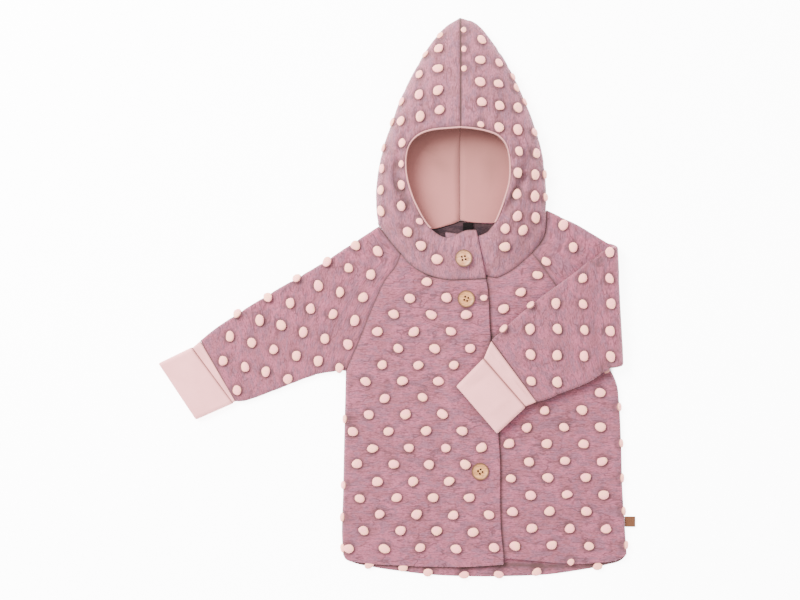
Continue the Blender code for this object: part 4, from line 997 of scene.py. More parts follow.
@dataclass
class Relief:
    """The small ups and downs of a piece of cloth over its plain form."""

    seed: int
    creases: tuple = ()
    course: float = 0.0         # degrees from x of the way that knitted courses run
    seam_depth: float = 1.2
    seam_reach: float = 3.0
    edge_round: float = 1.1
    wrinkle_depth: float = 0.62
    moat_depth: float = 0.6
    swell: float = 0.35

    def heights(self, points: Array, upward: Array, seams: Array,
                edges: Array, folds: Array, puckers: Array) -> Array:
        """How far each point stands off the plain form.

        Args:
            points: The plain form's points, (..., 3).
            upward: The z of each point's outward direction.
            folds: What the listed creases add at each.
            puckers: What crinkles and the bobbles' feet add at each.
            seams: Distance of each point to the nearest seam.
            edges: Distance to the nearest free edge.

        Returns:
            Heights in millimetres.
        """
        total = self.swell * SoftNoise(self.seed, 34.0).at(points)
        total += 0.14 * SoftNoise(self.seed + 1, 9.0).at(points)
        total += 0.07 * SoftNoise(self.seed + 2, 3.2).at(points)
        total *= 1.0 - np.exp(-(seams / 2.5) ** 2)
        drop = np.clip(self.edge_round - edges, 0.0, self.edge_round)
        total -= self.edge_round - np.sqrt(np.maximum(0.0, self.edge_round**2 - drop**2))
        seen = np.clip(upward * 3.0, 0.0, 1.0)
        total += folds * seen + puckers * np.clip(seams / 4.0, 0.0, 1.0)
        return np.where(upward < -0.3, np.minimum(total, 0.0), total)   # flat on the floor

    def folds(self, plan: Array) -> Array:
        """What the listed creases add at points seen from above.

        Args:
            plan: Places seen from above, of shape (..., 2).

        Returns:
            The change of height at each.
        """
        total = np.zeros(plan.shape[:-1])
        for crease in self.creases:
            total += crease.height(plan)
        return total

    def valley(self, seams: Array) -> Array:
        """How far the cloth sinks beside a seam."""
        return self.seam_depth * np.exp(-(seams / self.seam_reach) ** 2 * 1.3)

    @staticmethod
    def closeness(points: Array, bobbles: list) -> Array:
        """From 0 to 1, how close each point is to the foot of a bobble.

        Args:
            points: The points.
            bobbles: The bobbles.

        Returns:
            The closeness of each.
        """
        if not bobbles:
            return np.zeros(points.shape[:-1])
        tree = tree_of(np.array([bobble.foot for bobble in bobbles]))
        gaps = np.array([tree.find(p)[2] for p in points.reshape(-1, 3)])
        return np.exp(-((gaps.reshape(points.shape[:-1]) - 5.9) / 2.3) ** 2)

    def wrinkles(self, plan: Array, bobbles: list) -> Array:
        """Short faint crinkles that run along the courses from bobble to bobble.

        Args:
            plan: Places seen from above, of shape (..., 2).
            bobbles: The bobbles.

        Returns:
            The change of height at each.
        """
        chance = np.random.default_rng(self.seed + 5)
        way = np.array([math.cos(math.radians(self.course)), math.sin(math.radians(self.course))])
        over = np.array([-way[1], way[0]])
        total = np.zeros(plan.shape[:-1])
        for bobble in bobbles:
            foot = np.array(bobble.foot[0:2])
            for side in (-1.0, 1.0):
                for _ in range(2):
                    start = foot + way * side * chance.uniform(5.5, 8.0)
                    start = start + over * chance.uniform(-5.0, 5.0)
                    reach = chance.uniform(7.0, 14.0)
                    bend = over * chance.uniform(-2.2, 2.2)
                    stop = start + way * side * reach + over * chance.uniform(-2.5, 2.5)
                    line = np.array([start, (start + stop) / 2 + bend, stop])
                    depth = self.wrinkle_depth * chance.uniform(0.35, 1.0)
                    breadth = chance.uniform(1.1, 1.9)
                    low, high = line.min(axis=0) - 4.0, line.max(axis=0) + 4.0
                    near = ((plan > low) & (plan < high)).all(axis=-1)
                    if near.any():
                        mark = Crease(tuple(map(tuple, line)), depth, breadth)
                        total[near] += mark.height(plan[near])
        return total


def side_bobbles(surface: FrontSurface, heights: tuple) -> list[Bobble]:
    """Bobbles that sit on the roll of a front's side, at heights up it.

    Args:
        surface: The surface that they sit on.
        heights: The heights, in millimetres.

    Returns:
        The bobbles.
    """
    found = []
    for y in heights:
        v = np.array([float(y)])
        u = surface.edge(v) + surface.side * 0.4
        foot = surface.at(u, v)[0]
        up = surface.normals(u, v, 1.0)[0]
        found.append(Bobble(tuple(foot - up * 0.8), tuple(up), (0.0, 1.0, 0.0), 5.2, 4.4, 2.9))
    return found


def seam_bobbles(hood: HoodSurface, heights: tuple) -> list[Bobble]:
    """Small bobbles that the hood's middle seam has cut, at heights up it.

    Args:
        hood: The half of the hood that they sit on.
        heights: The y of each.

    Returns:
        The bobbles.
    """
    runs = np.linspace(0.0, CROWN_RUN, 200)
    found = []
    for y in heights:
        share = HoodSurface.ray_step * 0.2
        line = hood.at(np.full(runs.shape, share), runs)
        run = np.interp(y, line[:, 1], runs)
        u, v = np.array([share]), np.array([run])
        foot, up = hood.at(u, v)[0], hood.normals(u, v, 1.0)[0]
        foot[0] = hood.sign * 3.6
        found.append(Bobble(tuple(foot), tuple(up), (0.0, 1.0, 0.0), 3.7, 3.2, 2.0))
    return found


def settled(bobble: Bobble, tree: KDTree, plain: Array, worked: Array) -> Bobble:
    """A bobble moved with the cloth that it sits on.

    Args:
        bobble: The bobble.
        tree: A search tree over the plain points.
        plain: Those points.
        worked: The same points with folds and wrinkles.

    Returns:
        The moved bobble.
    """
    _, index, _ = tree.find(bobble.foot)
    foot = np.array(bobble.foot) + worked[index] - plain[index]
    return Bobble(tuple(foot), bobble.up, bobble.long_way, bobble.half_long, bobble.half_wide,
                  bobble.high)


def tree_of(points: Array) -> KDTree:
    """A search tree over points of shape (n, 3).

    Args:
        points: The points, of shape (n, 3).

    Returns:
        The tree.
    """
    tree = KDTree(len(points))
    for index, point in enumerate(points):
        tree.insert(point, index)
    tree.balance()
    return tree


# ---- pieces of cloth
@dataclass
class ClothPiece:
    """A piece of the coat's cloth: its form, relief, materials and declared cut."""

    name: str
    nodes: tuple
    slot: str
    materials: list
    surface: Surface
    side: float
    thickness: float
    relief: Relief
    held: str
    rests_on: tuple
    bobbled: bool = False
    extra_bobbles: list = field(default_factory=list)
    bobbles: list = field(default_factory=list)
    painted_shade: Array | None = None
    # how dark the seam lines are, and how much painted shade lies in the grooves beside them
    seam_line_and_shade: float = 0.7
    # lines of other pieces' edges, each with the reach and share of the painted shadow cast here
    shades: tuple = ()
    trims: list = field(default_factory=list)
    area: float = 0.0
    flat: tuple = (0.0, 0.0)

    def wall(self, u: Array, v: Array, seams: Array, edges: Array,
             build: WallBuilder) -> tuple[Array, Array, Array]:
        """Works out a grid's plain points, its outer points with relief and its inner ones.

        Args:
            u, v: The surface's own places, (rows, columns).
            seams: Distance to the nearest seam at each.
            edges: Distance to the nearest free edge at each.
            build: The builder whose bobbles are settled on the outer points.

        Returns:
            Plain, outer and inner points.
        """
        plain = self.surface.at(u, v)
        normal = self.surface.normals(u, v, self.side)
        upward = np.clip(normal[..., 2:], 0.0, 1.0)
        self.bobbles = list(self.extra_bobbles)
        if self.bobbled:
            long_ways = self.surface.at(u + 0.4, v) - self.surface.at(u - 0.4, v)
            self.bobbles += bobbles_on(self.nodes[0], plain.reshape(-1, 3),
                                       normal.reshape(-1, 3), long_ways.reshape(-1, 3))
        near = self.relief.closeness(plain, self.bobbles)
        folds = self.relief.folds(plain[..., 0:2])
        puckers = self.relief.wrinkles(plain[..., 0:2], self.bobbles)
        self.painted_shade = self.tones(plain, seams, near, np.minimum(folds, 0.0) + puckers)
        height = self.relief.heights(plain, normal[..., 2], seams, edges, folds,
                                     puckers - self.relief.moat_depth * near)
        valley = self.relief.valley(seams)[..., None] * upward
        outer = plain + normal * height[..., None] - np.array([0.0, 0.0, 1.0]) * valley
        sunk = folds * np.clip(normal[..., 2] * 3.0, 0.0, 1.0) + self.thickness - 0.6
        inner = plain - normal * (self.thickness - np.minimum(sunk, 0.0))[..., None]
        self.seat_bobbles(plain.reshape(-1, 3), outer.reshape(-1, 3), build)
        return plain, outer, inner

    def tones(self, plain: Array, seams: Array, near: Array,
              sunk: Array) -> Array:
        """How much painted shade each point takes, with the dark line of its seams.

        Args:
            plain: Points of the plain form.
            seams: Distance to the nearest seam at each.
            near: How close each is to a bobble's foot.
            sunk: How far creases and crinkles lower each.

        Returns:
            Shares from 0 to 1: a dark line along seams, with painted shade beside them,
            in creases and crinkles, round the bobbles' feet and under other pieces' edges.
        """
        tone = 0.52 * near + self.seam_line_and_shade * np.exp(-(seams / 0.9) ** 2)
        tone += 0.25 * self.seam_line_and_shade * np.exp(-(seams / 2.8) ** 2)
        tone += 0.22 * np.clip(-sunk, 0.0, 2.2)
        for line, reach, share in self.shades:
            gap, _ = distance_to(np.array(line, float), plain[..., 0:2])
            tone += share * np.exp(-(gap / reach) ** 2)
        return np.clip(tone, 0.0, 0.9)

    def seat_bobbles(self, plain: Array, outer: Array, build: WallBuilder) -> None:
        """Adds this piece's bobbles where the worked cloth carries them.

        Args:
            plain: Its points before folds and wrinkles.
            outer: Its points with folds and wrinkles.
            build: The builder that takes its points and faces.
        """
        if not self.bobbles:
            return
        chance = np.random.default_rng(self.relief.seed + 9)
        tree = tree_of(plain)
        for bobble in self.bobbles:
            build.add_bobble(settled(bobble, tree, plain, outer), chance)

    def measure(self, plain: Array, places: Array) -> None:
        """Keeps the cut's flat area and size, from its plain form.

        Args:
            plain: Its points before folds and wrinkles.
            places: The place on the cloth of each point.
        """
        one = plain[1:, 1:] - plain[:-1, :-1]
        two = plain[1:, :-1] - plain[:-1, 1:]
        self.area += float(np.linalg.norm(np.cross(one, two), axis=-1).sum() / 2) * MM * MM
        reach = [float(places[..., k].max() - places[..., k].min()) * MM for k in (0, 1)]
        self.flat = (max(self.flat[0], reach[0]), max(self.flat[1], reach[1]))

    def declare(self, piece: Piece) -> Piece:
        """Ties the finished piece to the frame and states its cut.

        Args:
            piece: The finished piece.

        Returns:
            The same piece.
        """
        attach(piece, "root")
        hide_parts(*self.nodes)
        LOG.info("%s: flat %.3f x %.3f m, %.4f m2, %d bobbles", self.name, *self.flat,
                 self.area, len(self.bobbles))
        return piece


@dataclass
class Panel(ClothPiece):
    """A flat panel between four lines."""

    bottom: Line | None = None
    top: Line | None = None
    left: Line | None = None
    right: Line | None = None
    pitch: float = 1.45
    free: tuple = ()            # the sides that are free edges, of "bottom top left right"
    reverse_above: float = 1e9  # above this y the inside of the cloth shows

    def build(self) -> Piece:
        """Returns:
            The panel.
        """
        lines = [self.bottom, self.top, self.left, self.right]
        reach = [length_of(line.at(np.linspace(0, 1, 60))) for line in lines]
        s, t = spaced(max(reach[:2]), self.pitch), spaced(max(reach[2:]), self.pitch)
        if isinstance(self.surface, FrontSurface):
            lines = [unrolled_line(line, self.surface) for line in lines]
        plan = patch(*lines, s, t)
        steps = {"bottom": run_from(plan, 0, False), "top": run_from(plan, 0, True),
                 "left": run_from(plan, 1, False), "right": run_from(plan, 1, True)}
        edges = np.minimum.reduce([steps[k] for k in self.free]
                                  or [np.full(plan.shape[:2], FAR_OFF)])
        sewn = [steps[k] for k in steps if k not in self.free]
        seams = np.minimum.reduce(sewn or [np.full(plan.shape[:2], FAR_OFF)])
        build = WallBuilder()
        plain, outer, inner = self.wall(plan[..., 0], plan[..., 1], seams, edges, build)
        self.measure(plain, plan)
        finish = Finish.CLOTH
        numbers = build.add_points(outer, self.painted_shade)
        if self.reverse_above < 1e8:
            split = int(np.searchsorted(plain[:, plain.shape[1] // 2, 1], self.reverse_above))
            build.add_grid(numbers[:split + 1], plan[:split + 1], finish, False)
            build.add_grid(numbers[split:], plan[split:], Finish.REVERSE, False)
        else:
            build.add_grid(numbers, plan, finish, False)
        rows, columns = coarse(plan.shape[0], 7), coarse(plan.shape[1], 7)
        under = build.add_points(inner[np.ix_(rows, columns)])
        build.add_grid(under, plan[np.ix_(rows, columns)], finish, True)
        for outer_line, inner_line, uv, every, flip in (
                (numbers[0], under[0], plan[0], columns, True),
                (numbers[-1], under[-1], plan[-1], columns, False),
                (numbers[:, 0], under[:, 0], plan[:, 0], rows, False),
                (numbers[:, -1], under[:, -1], plan[:, -1], rows, True)):
            build.add_rim(outer_line, inner_line, uv, every, finish, flip)
        return self.declare(build.make(self.name, self.materials))


def unrolled_line(line: Line, surface: FrontSurface) -> Line:
    """A panel's side line in the panel's own (u, v)."""
    plan = line.at(np.linspace(0.0, 1.0, 160))
    return Line.through(surface.unrolled(plan).tolist())


def run_from(plan: Array, axis: int, far: bool) -> Array:
    """Distance along the grid's lines from one of its sides.

    Args:
        plan: Places seen from above, of shape (..., 2).
        axis: Which of the grid's two directions.
        far: Whether the distance is from the far side.

    Returns:
        The distances, one for each point of the grid.
    """
    steps = np.linalg.norm(np.diff(plan, axis=axis), axis=-1)
    pad = [(0, 0), (0, 0)]
    pad[axis] = (1, 0)
    run = np.cumsum(np.pad(steps, pad), axis=axis)
    return run.take([-1], axis=axis) - run if far else run


@dataclass
class Sleeve(ClothPiece):
    """A sleeve, once round from the seam at its head to the seam at its cuff."""

    pitch: float = 1.5
    under_pitch: float = 5.0    # of the layer that lies on the floor

    def turns(self) -> Array:
        """Shares of a turn for the grid's columns.

        Returns:
            The shares.
        """
        stops = [(RING_BREAKS[0], RING_BREAKS[1], 3),
                 (RING_BREAKS[1], RING_BREAKS[2], round(145.0 / self.under_pitch)),
                 (RING_BREAKS[2], RING_BREAKS[3], 8),
                 (RING_BREAKS[3], RING_BREAKS[4], round(145.0 / self.pitch)),
                 (RING_BREAKS[4], RING_BREAKS[5], 4)]
        parts = [np.linspace(a, b, count + 1)[:-1] for a, b, count in stops]
        return np.concatenate([*parts, [1.0]])

    def build(self) -> Piece:
        """Returns:
            The sleeve.
        """
        tube = self.surface
        along = spaced(tube.length, self.pitch) * (tube.length - 2 * SEAM_PULL) + SEAM_PULL
        turn = self.turns()
        u, v = np.meshgrid(turn * 100.0, along)
        seams = np.minimum(v, tube.length - v)
        build = WallBuilder()
        plain, outer, inner = self.wall(u, v, seams, np.full(u.shape, FAR_OFF), build)
        places = np.stack([u * 2.9, v], axis=-1)
        self.measure(plain, places)
        self.flat = tube.cut(along)
        numbers = build.add_points(outer[:, :-1], self.painted_shade[:, :-1])
        numbers = np.concatenate([numbers, numbers[:, :1]], axis=1)
        flip = self.side < 0
        build.add_grid(numbers, places, Finish.CLOTH, flip)
        rows, columns = coarse(len(along), 6), coarse(len(turn), 4)
        under = build.add_points(inner[np.ix_(rows, columns[:-1])])
        under = np.concatenate([under, under[:, :1]], axis=1)
        build.add_grid(under, places[np.ix_(rows, columns)], Finish.CLOTH, not flip)
        build.add_rim(numbers[0], under[0], places[0], columns, Finish.CLOTH, not flip)
        build.add_rim(numbers[-1], under[-1], places[-1], columns, Finish.CLOTH, flip)
        return self.declare(build.make(self.name, self.materials))


@dataclass
class FanPiece(ClothPiece):
    """A piece over rays from the brim: half of the hood, or half of its lining."""

    last_ray: float = 18.0
    corner_ray: float = SHOULDER_RAY
    bends: tuple = (0.0, CROWN_RUN)     # the v of the part that reaches every ray
    end: float = CROWN_RUN + TURN_RUN + UNDER_RUN
    columns: int = 200
    rows: int = 70
    under_shares: tuple = (0.02, 0.04, 0.06, 0.085, 0.11, 0.3, 0.55, 0.8, 1.0)
    brim_is_free: bool = False
    shade_from: float = 1e4     # above this y the cloth takes painted shade, deeper towards the crown

    def build(self) -> Piece:
        """Builds the fan's wall: its main part, and its under part back to the middle seam.

        Returns:
            The half of the hood or of its lining.
        """
        step = HoodSurface.ray_step
        last = self.last_ray * step
        rays = np.union1d(np.linspace(0.0, last, self.columns),
                          [0.5, 1.3, 2.4, last - 2.4, last - 1.3, last - 0.5,
                           self.corner_ray * step])
        corner = int(np.searchsorted(rays, self.corner_ray * step - 1e-6))
        high = self.bends[1]
        outs = high * np.union1d(np.linspace(0.0, 1.0, self.rows) ** 0.92,
                                 [0.006, 0.014, 0.025, 0.972, 0.984, 0.992])
        u, v = np.meshgrid(rays, outs)
        fall = np.clip((rays / step - NECK_RAY) / (self.corner_ray - NECK_RAY), 0.0, 1.0)
        ends = self.end + (high - self.end) * fall
        shares = np.array(self.under_shares)[:, None]
        under_u = np.broadcast_to(rays[:corner + 1], (len(shares), corner + 1))
        under_v = high + (ends[:corner + 1] - high) * shares
        past = ((0, 0), (0, len(rays) - corner - 1))
        all_u = np.concatenate([u, np.pad(under_u, past, mode="edge")])
        all_v = np.concatenate([v, np.pad(under_v, past, mode="edge")])
        seams, edges = self.margins(u, v)
        far = np.full((len(shares), len(rays)), FAR_OFF)
        far_seams = np.minimum(far, all_u[len(outs):] * 1.2)
        build = WallBuilder()
        plain, outer, inner = self.wall(all_u, all_v, np.concatenate([seams, far_seams]),
                                        np.concatenate([edges, far]), build)
        places = self.places(all_u, all_v, plain)
        self.measure(plain[:len(outs)], places[:len(outs)])
        self.measure(plain[len(outs) - 1:, :corner + 1], places[len(outs) - 1:, :corner + 1])
        self.add_skins(build, outer, inner, places, len(outs), corner)
        return self.declare(build.make(self.name, self.materials))

    def tones(self, plain: Array, seams: Array, near: Array,
              sunk: Array) -> Array:
        """The painted shade of its hollows, with painted shade over the part above shade_from and
        a dark line along the middle seam.

        Args:
            plain: Its points before folds and wrinkles.
            seams: Distance to the nearest seam at each.
            near: How close each is to a bobble's foot.
            sunk: How far creases and crinkles lower each.

        Returns:
            The tones.
        """
        shade = ease((plain[..., 1] - self.shade_from) / SHADE_REACH)
        middle = np.exp(-(plain[..., 0] / 1.3) ** 2) * (plain[..., 2] > 1.5)
        return super().tones(plain, seams, near, sunk) + shade + 0.35 * self.seam_line_and_shade * middle

    def margins(self, u: Array, v: Array) -> tuple[Array, Array]:
        """Distances over the main part to its seams and to its free edges.

        Args:
            u, v: Where on the surface.

        Returns:
            The distances to seams and those to free edges.
        """
        step = HoodSurface.ray_step
        middle = u * 1.15
        far = (self.last_ray * step - u) * 0.9
        neck = np.where(u > self.corner_ray * step - 4.0, (self.bends[1] - v) * 0.7, FAR_OFF)
        brim = v * 0.75
        if self.brim_is_free:
            return np.minimum(middle, neck), np.minimum(brim, far)
        return np.minimum(np.minimum(middle, neck), brim), far

    def places(self, u: Array, v: Array, plain: Array) -> Array:
        """Place on the cloth of each point, its steep parts laid flat, courses up the hood.

        Args:
            u, v: Where on the surface; v is not used.
            plain: Its points before folds and wrinkles.

        Returns:
            The places, of shape (..., 2).
        """
        carrier = self.surface if isinstance(self.surface, HoodSurface) else self.surface.hood
        ray = carrier.ray(u)
        outward = ray[..., 3:5] - ray[..., 0:2]
        outward /= np.linalg.norm(outward, axis=-1, keepdims=True)
        laid = plain[..., 0:2] + outward * (ray[..., 2] - plain[..., 2])[..., None]
        return laid[..., ::-1]

    def add_skins(self, build: WallBuilder, outer: Array, inner: Array,
                  places: Array, main_rows: int, corner: int) -> None:
        """Adds both skins and the rims between them.

        Args:
            build: Collects the faces.
            outer, inner: Points of both skins, (rows, columns, 3).
            places: Place on the cloth of each.
            main_rows: How many rows the main part has.
            corner: The column at which the under part ends.
        """
        flip = self.side < 0
        columns = sorted(set(coarse(outer.shape[1], 4)) | {corner})
        main = coarse(main_rows, 5)
        beneath = list(range(main_rows, outer.shape[0], 2))
        beneath = sorted(set(beneath) | {outer.shape[0] - 1})
        tops = self.numbered(build, outer, list(range(main_rows)),
                             list(range(main_rows, outer.shape[0])), None, corner)
        lows = self.numbered(build, inner, main, beneath, columns, columns.index(corner))
        for (upper, lower), skin_rows, under_rows, cols, turned in (
                (tops, list(range(main_rows)), list(range(main_rows, outer.shape[0])),
                 list(range(outer.shape[1])), flip),
                (lows, main, beneath, columns, not flip)):
            build.add_grid(upper, places[np.ix_(skin_rows, cols)], Finish.CLOTH, turned)
            end = lower.shape[1]
            rows = [skin_rows[-1]] + under_rows
            build.add_grid(lower, places[np.ix_(rows, cols[:end])], Finish.CLOTH, turned)
        (top_main, top_under), (low_main, low_under) = tops, lows
        last = outer.shape[0] - 1
        neck_cols = [c - corner for c in columns if c >= corner]
        under_cols = [c for c in columns if c <= corner]
        under_rows = [0] + [r - main_rows + 1 for r in beneath]
        first = low_main.shape[1] - len(neck_cols)
        build.add_rim(top_main[0], low_main[0], places[0], columns, Finish.CLOTH, not flip)
        build.add_rim(top_main[:, -1], low_main[:, -1], places[:main_rows, -1], main,
                      Finish.CLOTH, not flip)
        build.add_rim(top_main[-1, corner:], low_main[-1, first:],
                      places[main_rows - 1, corner:], neck_cols, Finish.CLOTH, flip)
        build.add_rim(top_under[-1], low_under[-1], places[last, :corner + 1], under_cols,
                      Finish.CLOTH, flip)
        build.add_rim(top_main[:, 0], low_main[:, 0], places[:main_rows, 0], main,
                      Finish.CLOTH, flip)
        build.add_rim(top_under[:, 0], low_under[:, 0], places[main_rows - 1:, 0], under_rows,
                      Finish.CLOTH, flip)

    def numbered(self, build: WallBuilder, points: Array, main: list, beneath: list,
                 columns: list | None, corner: int) -> tuple[Array, Array]:
        """Adds one skin's points: its main grid, and its under grid that shares a row with it.

        Args:
            build: The builder that takes its points and faces.
            points: The skin's points, row by row.
            main: The rows of the main grid.
            beneath: The rows of the under grid.
            columns: The columns that are kept, or None for all.
            corner: The kept column at which the under grid ends.

        Returns:
            The numbers of the main grid and of the under grid.
        """
        cols = columns or list(range(points.shape[1]))
        upper = build.add_points(points[np.ix_(main, cols)], self.painted_shade[np.ix_(main, cols)])
        lower = build.add_points(points[np.ix_(beneath, cols[:corner])],
                                 self.painted_shade[np.ix_(beneath, cols[:corner])])
        corner_point = np.full((len(beneath), 1), upper[-1, corner])
        lower = np.concatenate([lower, corner_point], axis=1)
        return upper, np.concatenate([upper[-1:, :corner + 1], lower])


# ---- node groups for finishes
def new_group(name: str, inputs: list, outputs: list) -> NodeTree:
    """Starts a shader node group.

    Args:
        name: The group's name.
        inputs: (name, socket type, default) of each input.
        outputs: (name, socket type) of each output.

    Returns:
        The node tree, with its Group Input and Group Output nodes.
    """
    tree = bpy.data.node_groups.new(name, "ShaderNodeTree")
    for label, kind, default in inputs:
        socket = tree.interface.new_socket(label, in_out="INPUT", socket_type=kind)
        if default is not None:
            socket.default_value = default
    for label, kind in outputs:
        tree.interface.new_socket(label, in_out="OUTPUT", socket_type=kind)
    tree.nodes.new("NodeGroupInput").name = "in"
    tree.nodes.new("NodeGroupOutput").name = "out"
    return tree


class Nodes:
    """Short ways to add and join nodes in one tree."""

    def __init__(self, tree: NodeTree) -> None:
        """Keeps the tree."""
        self.tree = tree

    def add(self, kind: str, settings: dict | None = None, **links: object) -> Node:
        """Adds a node, sets its options and feeds its inputs.

        Args:
            kind: The node's type.
            settings: Option names and values.
            links: Inputs by name, spaces as underscores: a socket to join, or a value.

        Returns:
            The new node.
        """
        node = self.tree.nodes.new(kind)
        for option, value in (settings or {}).items():
            setattr(node, option, value)
        for label, value in links.items():
            socket = self.socket(node, label)
            if isinstance(value, Socket):
                self.tree.links.new(value, socket)
            else:
                socket.default_value = value
        return node

    @staticmethod
    def socket(node: Node, label: str) -> Socket:
        """An input by its name, or by its number where the label is i and digits.

        Args:
            node: The node.
            label: The input's name, or its number.

        Returns:
            The input.
        """
        if label[0] == "i" and label[1:].isdigit():
            return node.inputs[int(label[1:])]
        return node.inputs[label.replace("_", " ")]

    def noise(self, vector: Socket, scale: float, detail: float = 2.0,
              rough: float = 0.5, distortion: float = 0.0) -> Socket:
        """A noise texture's value.

        Args:
            vector: Where it is read.
            scale: How many of its spots go into a metre.
            detail: How many finer layers it has.
            rough: How strong they are.
            distortion: How far it is bent.

        Returns:
            Its value, from 0 to 1.
        """
        node = self.add("ShaderNodeTexNoise", None, Vector=vector, Scale=scale, Detail=detail,
                        Roughness=rough, Distortion=distortion)
        return node.outputs["Fac"]

    def stretch(self, vector: Socket, sizes: tuple,
                offset: tuple = (0, 0, 0)) -> Socket:
        """A vector scaled on each axis."""
        node = self.add("ShaderNodeMapping", None, Vector=vector, Scale=sizes, Location=offset)
        return node.outputs[0]

    def between(self, value: Socket, low: float, high: float, start: float = 0.0,
                stop: float = 1.0) -> Socket:
        """A value's range mapped smoothly to another.

        Args:
            value: The value.
            low: Value where the range begins.
            high: Value where it ends.
            start: What its beginning becomes.
            stop: What its end becomes.

        Returns:
            The mapped value.
        """
        node = self.add("ShaderNodeMapRange", {"interpolation_type": "SMOOTHSTEP"}, Value=value,
                        From_Min=low, From_Max=high, To_Min=start, To_Max=stop)
        return node.outputs[0]

    def blend(self, share: object, one: object, two: object,
              mode: str = "MIX") -> Socket:
        """Two colours mixed by a share.

        Args:
            share: The share of the second.
            one: The first.
            two: The second.
            mode: How they are mixed.

        Returns:
            The mixed colour.
        """
        node = self.tree.nodes.new("ShaderNodeMix")
        node.data_type = "RGBA"
        node.blend_type = mode
        for socket, value in ((node.inputs[0], share), (node.inputs[6], one),
                              (node.inputs[7], two)):
            if isinstance(value, Socket):
                self.tree.links.new(value, socket)
            else:
                socket.default_value = value
        return node.outputs[2]

    def math(self, one: object, two: object = 0.0, operation: str = "ADD") -> Socket:
        """Two numbers joined by an operation."""
        return self.add("ShaderNodeMath", {"operation": operation}, i0=one, i1=two).outputs[0]

    def place(self) -> Socket:
        """Where a point is on the object, in metres."""
        return self.add("ShaderNodeTexCoord").outputs["Object"]

    def cloth(self) -> Socket:
        """Where a point is on its own cloth, in metres."""
        return self.add("ShaderNodeUVMap", {"uv_map": "cloth"}).outputs["UV"]

    def mark(self, name: str) -> Socket:
        """A number that the mesh keeps for each point."""
        return self.add("ShaderNodeAttribute", {"attribute_name": name}).outputs["Fac"]


SHADED_WOOL = (0.048, 0.024, 0.022, 1.0)    # wool where little light reaches it


def heather_group() -> NodeTree:
    """Heathered boiled wool: mottled tones, dark fibres along the courses, crinkles with painted
    shade in them and pits, and painted shade from its Shade input.

    Returns:
        The node group.
    """
    tree = new_group("HeatheredWool",
                     [("Cloth", "NodeSocketVector", None), ("Place", "NodeSocketVector", None),
                      ("Pale", "NodeSocketColor", (0.3, 0.1, 0.14, 1)),
                      ("Middle", "NodeSocketColor", (0.25, 0.08, 0.1, 1)),
                      ("Deep", "NodeSocketColor", (0.2, 0.08, 0.12, 1)),
                      ("Fibre", "NodeSocketColor", (0.07, 0.01, 0.03, 1)),
                      ("Fibre Share", "NodeSocketFloat", 0.5),
                      ("Shade", "NodeSocketFloat", 0.0)],
                     [("Color", "NodeSocketColor"), ("Height", "NodeSocketFloat"),
                      ("Roughness", "NodeSocketFloat")])
    n = Nodes(tree)
    given, out = tree.nodes["in"].outputs, tree.nodes["out"].inputs
    wide = n.noise(given["Place"], 75.0, 2.0, 0.5)
    zones = n.noise(n.stretch(given["Cloth"], (75.0, 170.0, 1.0)), 1.0, 2.0, 0.5, 0.8)
    tone = n.blend(n.between(wide, 0.43, 0.57), given["Middle"], given["Pale"])
    tone = n.blend(n.between(zones, 0.46, 0.62), tone, given["Deep"])
    speck = n.noise(n.stretch(given["Cloth"], (330.0, 760.0, 1.0)), 1.0, 3.0, 0.65)
    grain = n.between(speck, 0.32, 0.68, 0.80, 1.17)
    tone = n.blend(1.0, tone, n.add("ShaderNodeCombineXYZ", None, X=grain, Y=grain,
                                    Z=grain).outputs[0], "MULTIPLY")
    dash = n.noise(n.stretch(given["Cloth"], (105.0, 820.0, 1.0)), 1.0, 2.0, 0.6, 0.35)
    dash_mask = n.between(dash, 0.56, 0.66, 0.0, 0.85)
    short = n.noise(n.stretch(given["Cloth"], (300.0, 900.0, 1.0), (3.1, 7.7, 0)), 1.0, 2.0, 0.6)
    short_mask = n.between(short, 0.57, 0.67, 0.0, 0.65)
    # crinkles: thin lines of painted shade, mixed into the dark fibres' share and dipped in the
    # bump
    line = n.noise(n.stretch(given["Cloth"], (26.0, 85.0, 1.0), (1.7, 4.3, 0)), 1.0, 3.0, 0.5, 0.5)
    away = n.math(n.math(line, -0.5), operation="ABSOLUTE")
    crinkle = n.math(n.between(away, 0.005, 0.024, 1.0, 0.0),
                    n.between(n.noise(given["Place"], 60.0, 1.0), 0.46, 0.56), "MULTIPLY")
    dark = n.math(n.math(dash_mask, short_mask, "MAXIMUM"), n.math(crinkle, 0.95, "MULTIPLY"),
                 "MAXIMUM")
    tone = n.blend(n.math(dark, given["Fibre Share"], "MULTIPLY"), tone, given["Fibre"])
    # painted shade: the Shade input mixes in the shaded wool colour
    tone = n.blend(given["Shade"], tone, SHADED_WOOL)
    tree.links.new(tone, out["Color"])
    felt = n.noise(given["Place"], 380.0, 4.0, 0.65)
    height = n.math(n.math(felt, 0.9, "MULTIPLY"), n.math(speck, 0.5, "MULTIPLY"))
    height = n.math(height, n.math(dark, 0.45, "MULTIPLY"), "SUBTRACT")
    tree.links.new(height, out["Height"])
    tree.links.new(n.between(felt, 0.2, 0.8, 0.86, 1.0), out["Roughness"])
    return tree


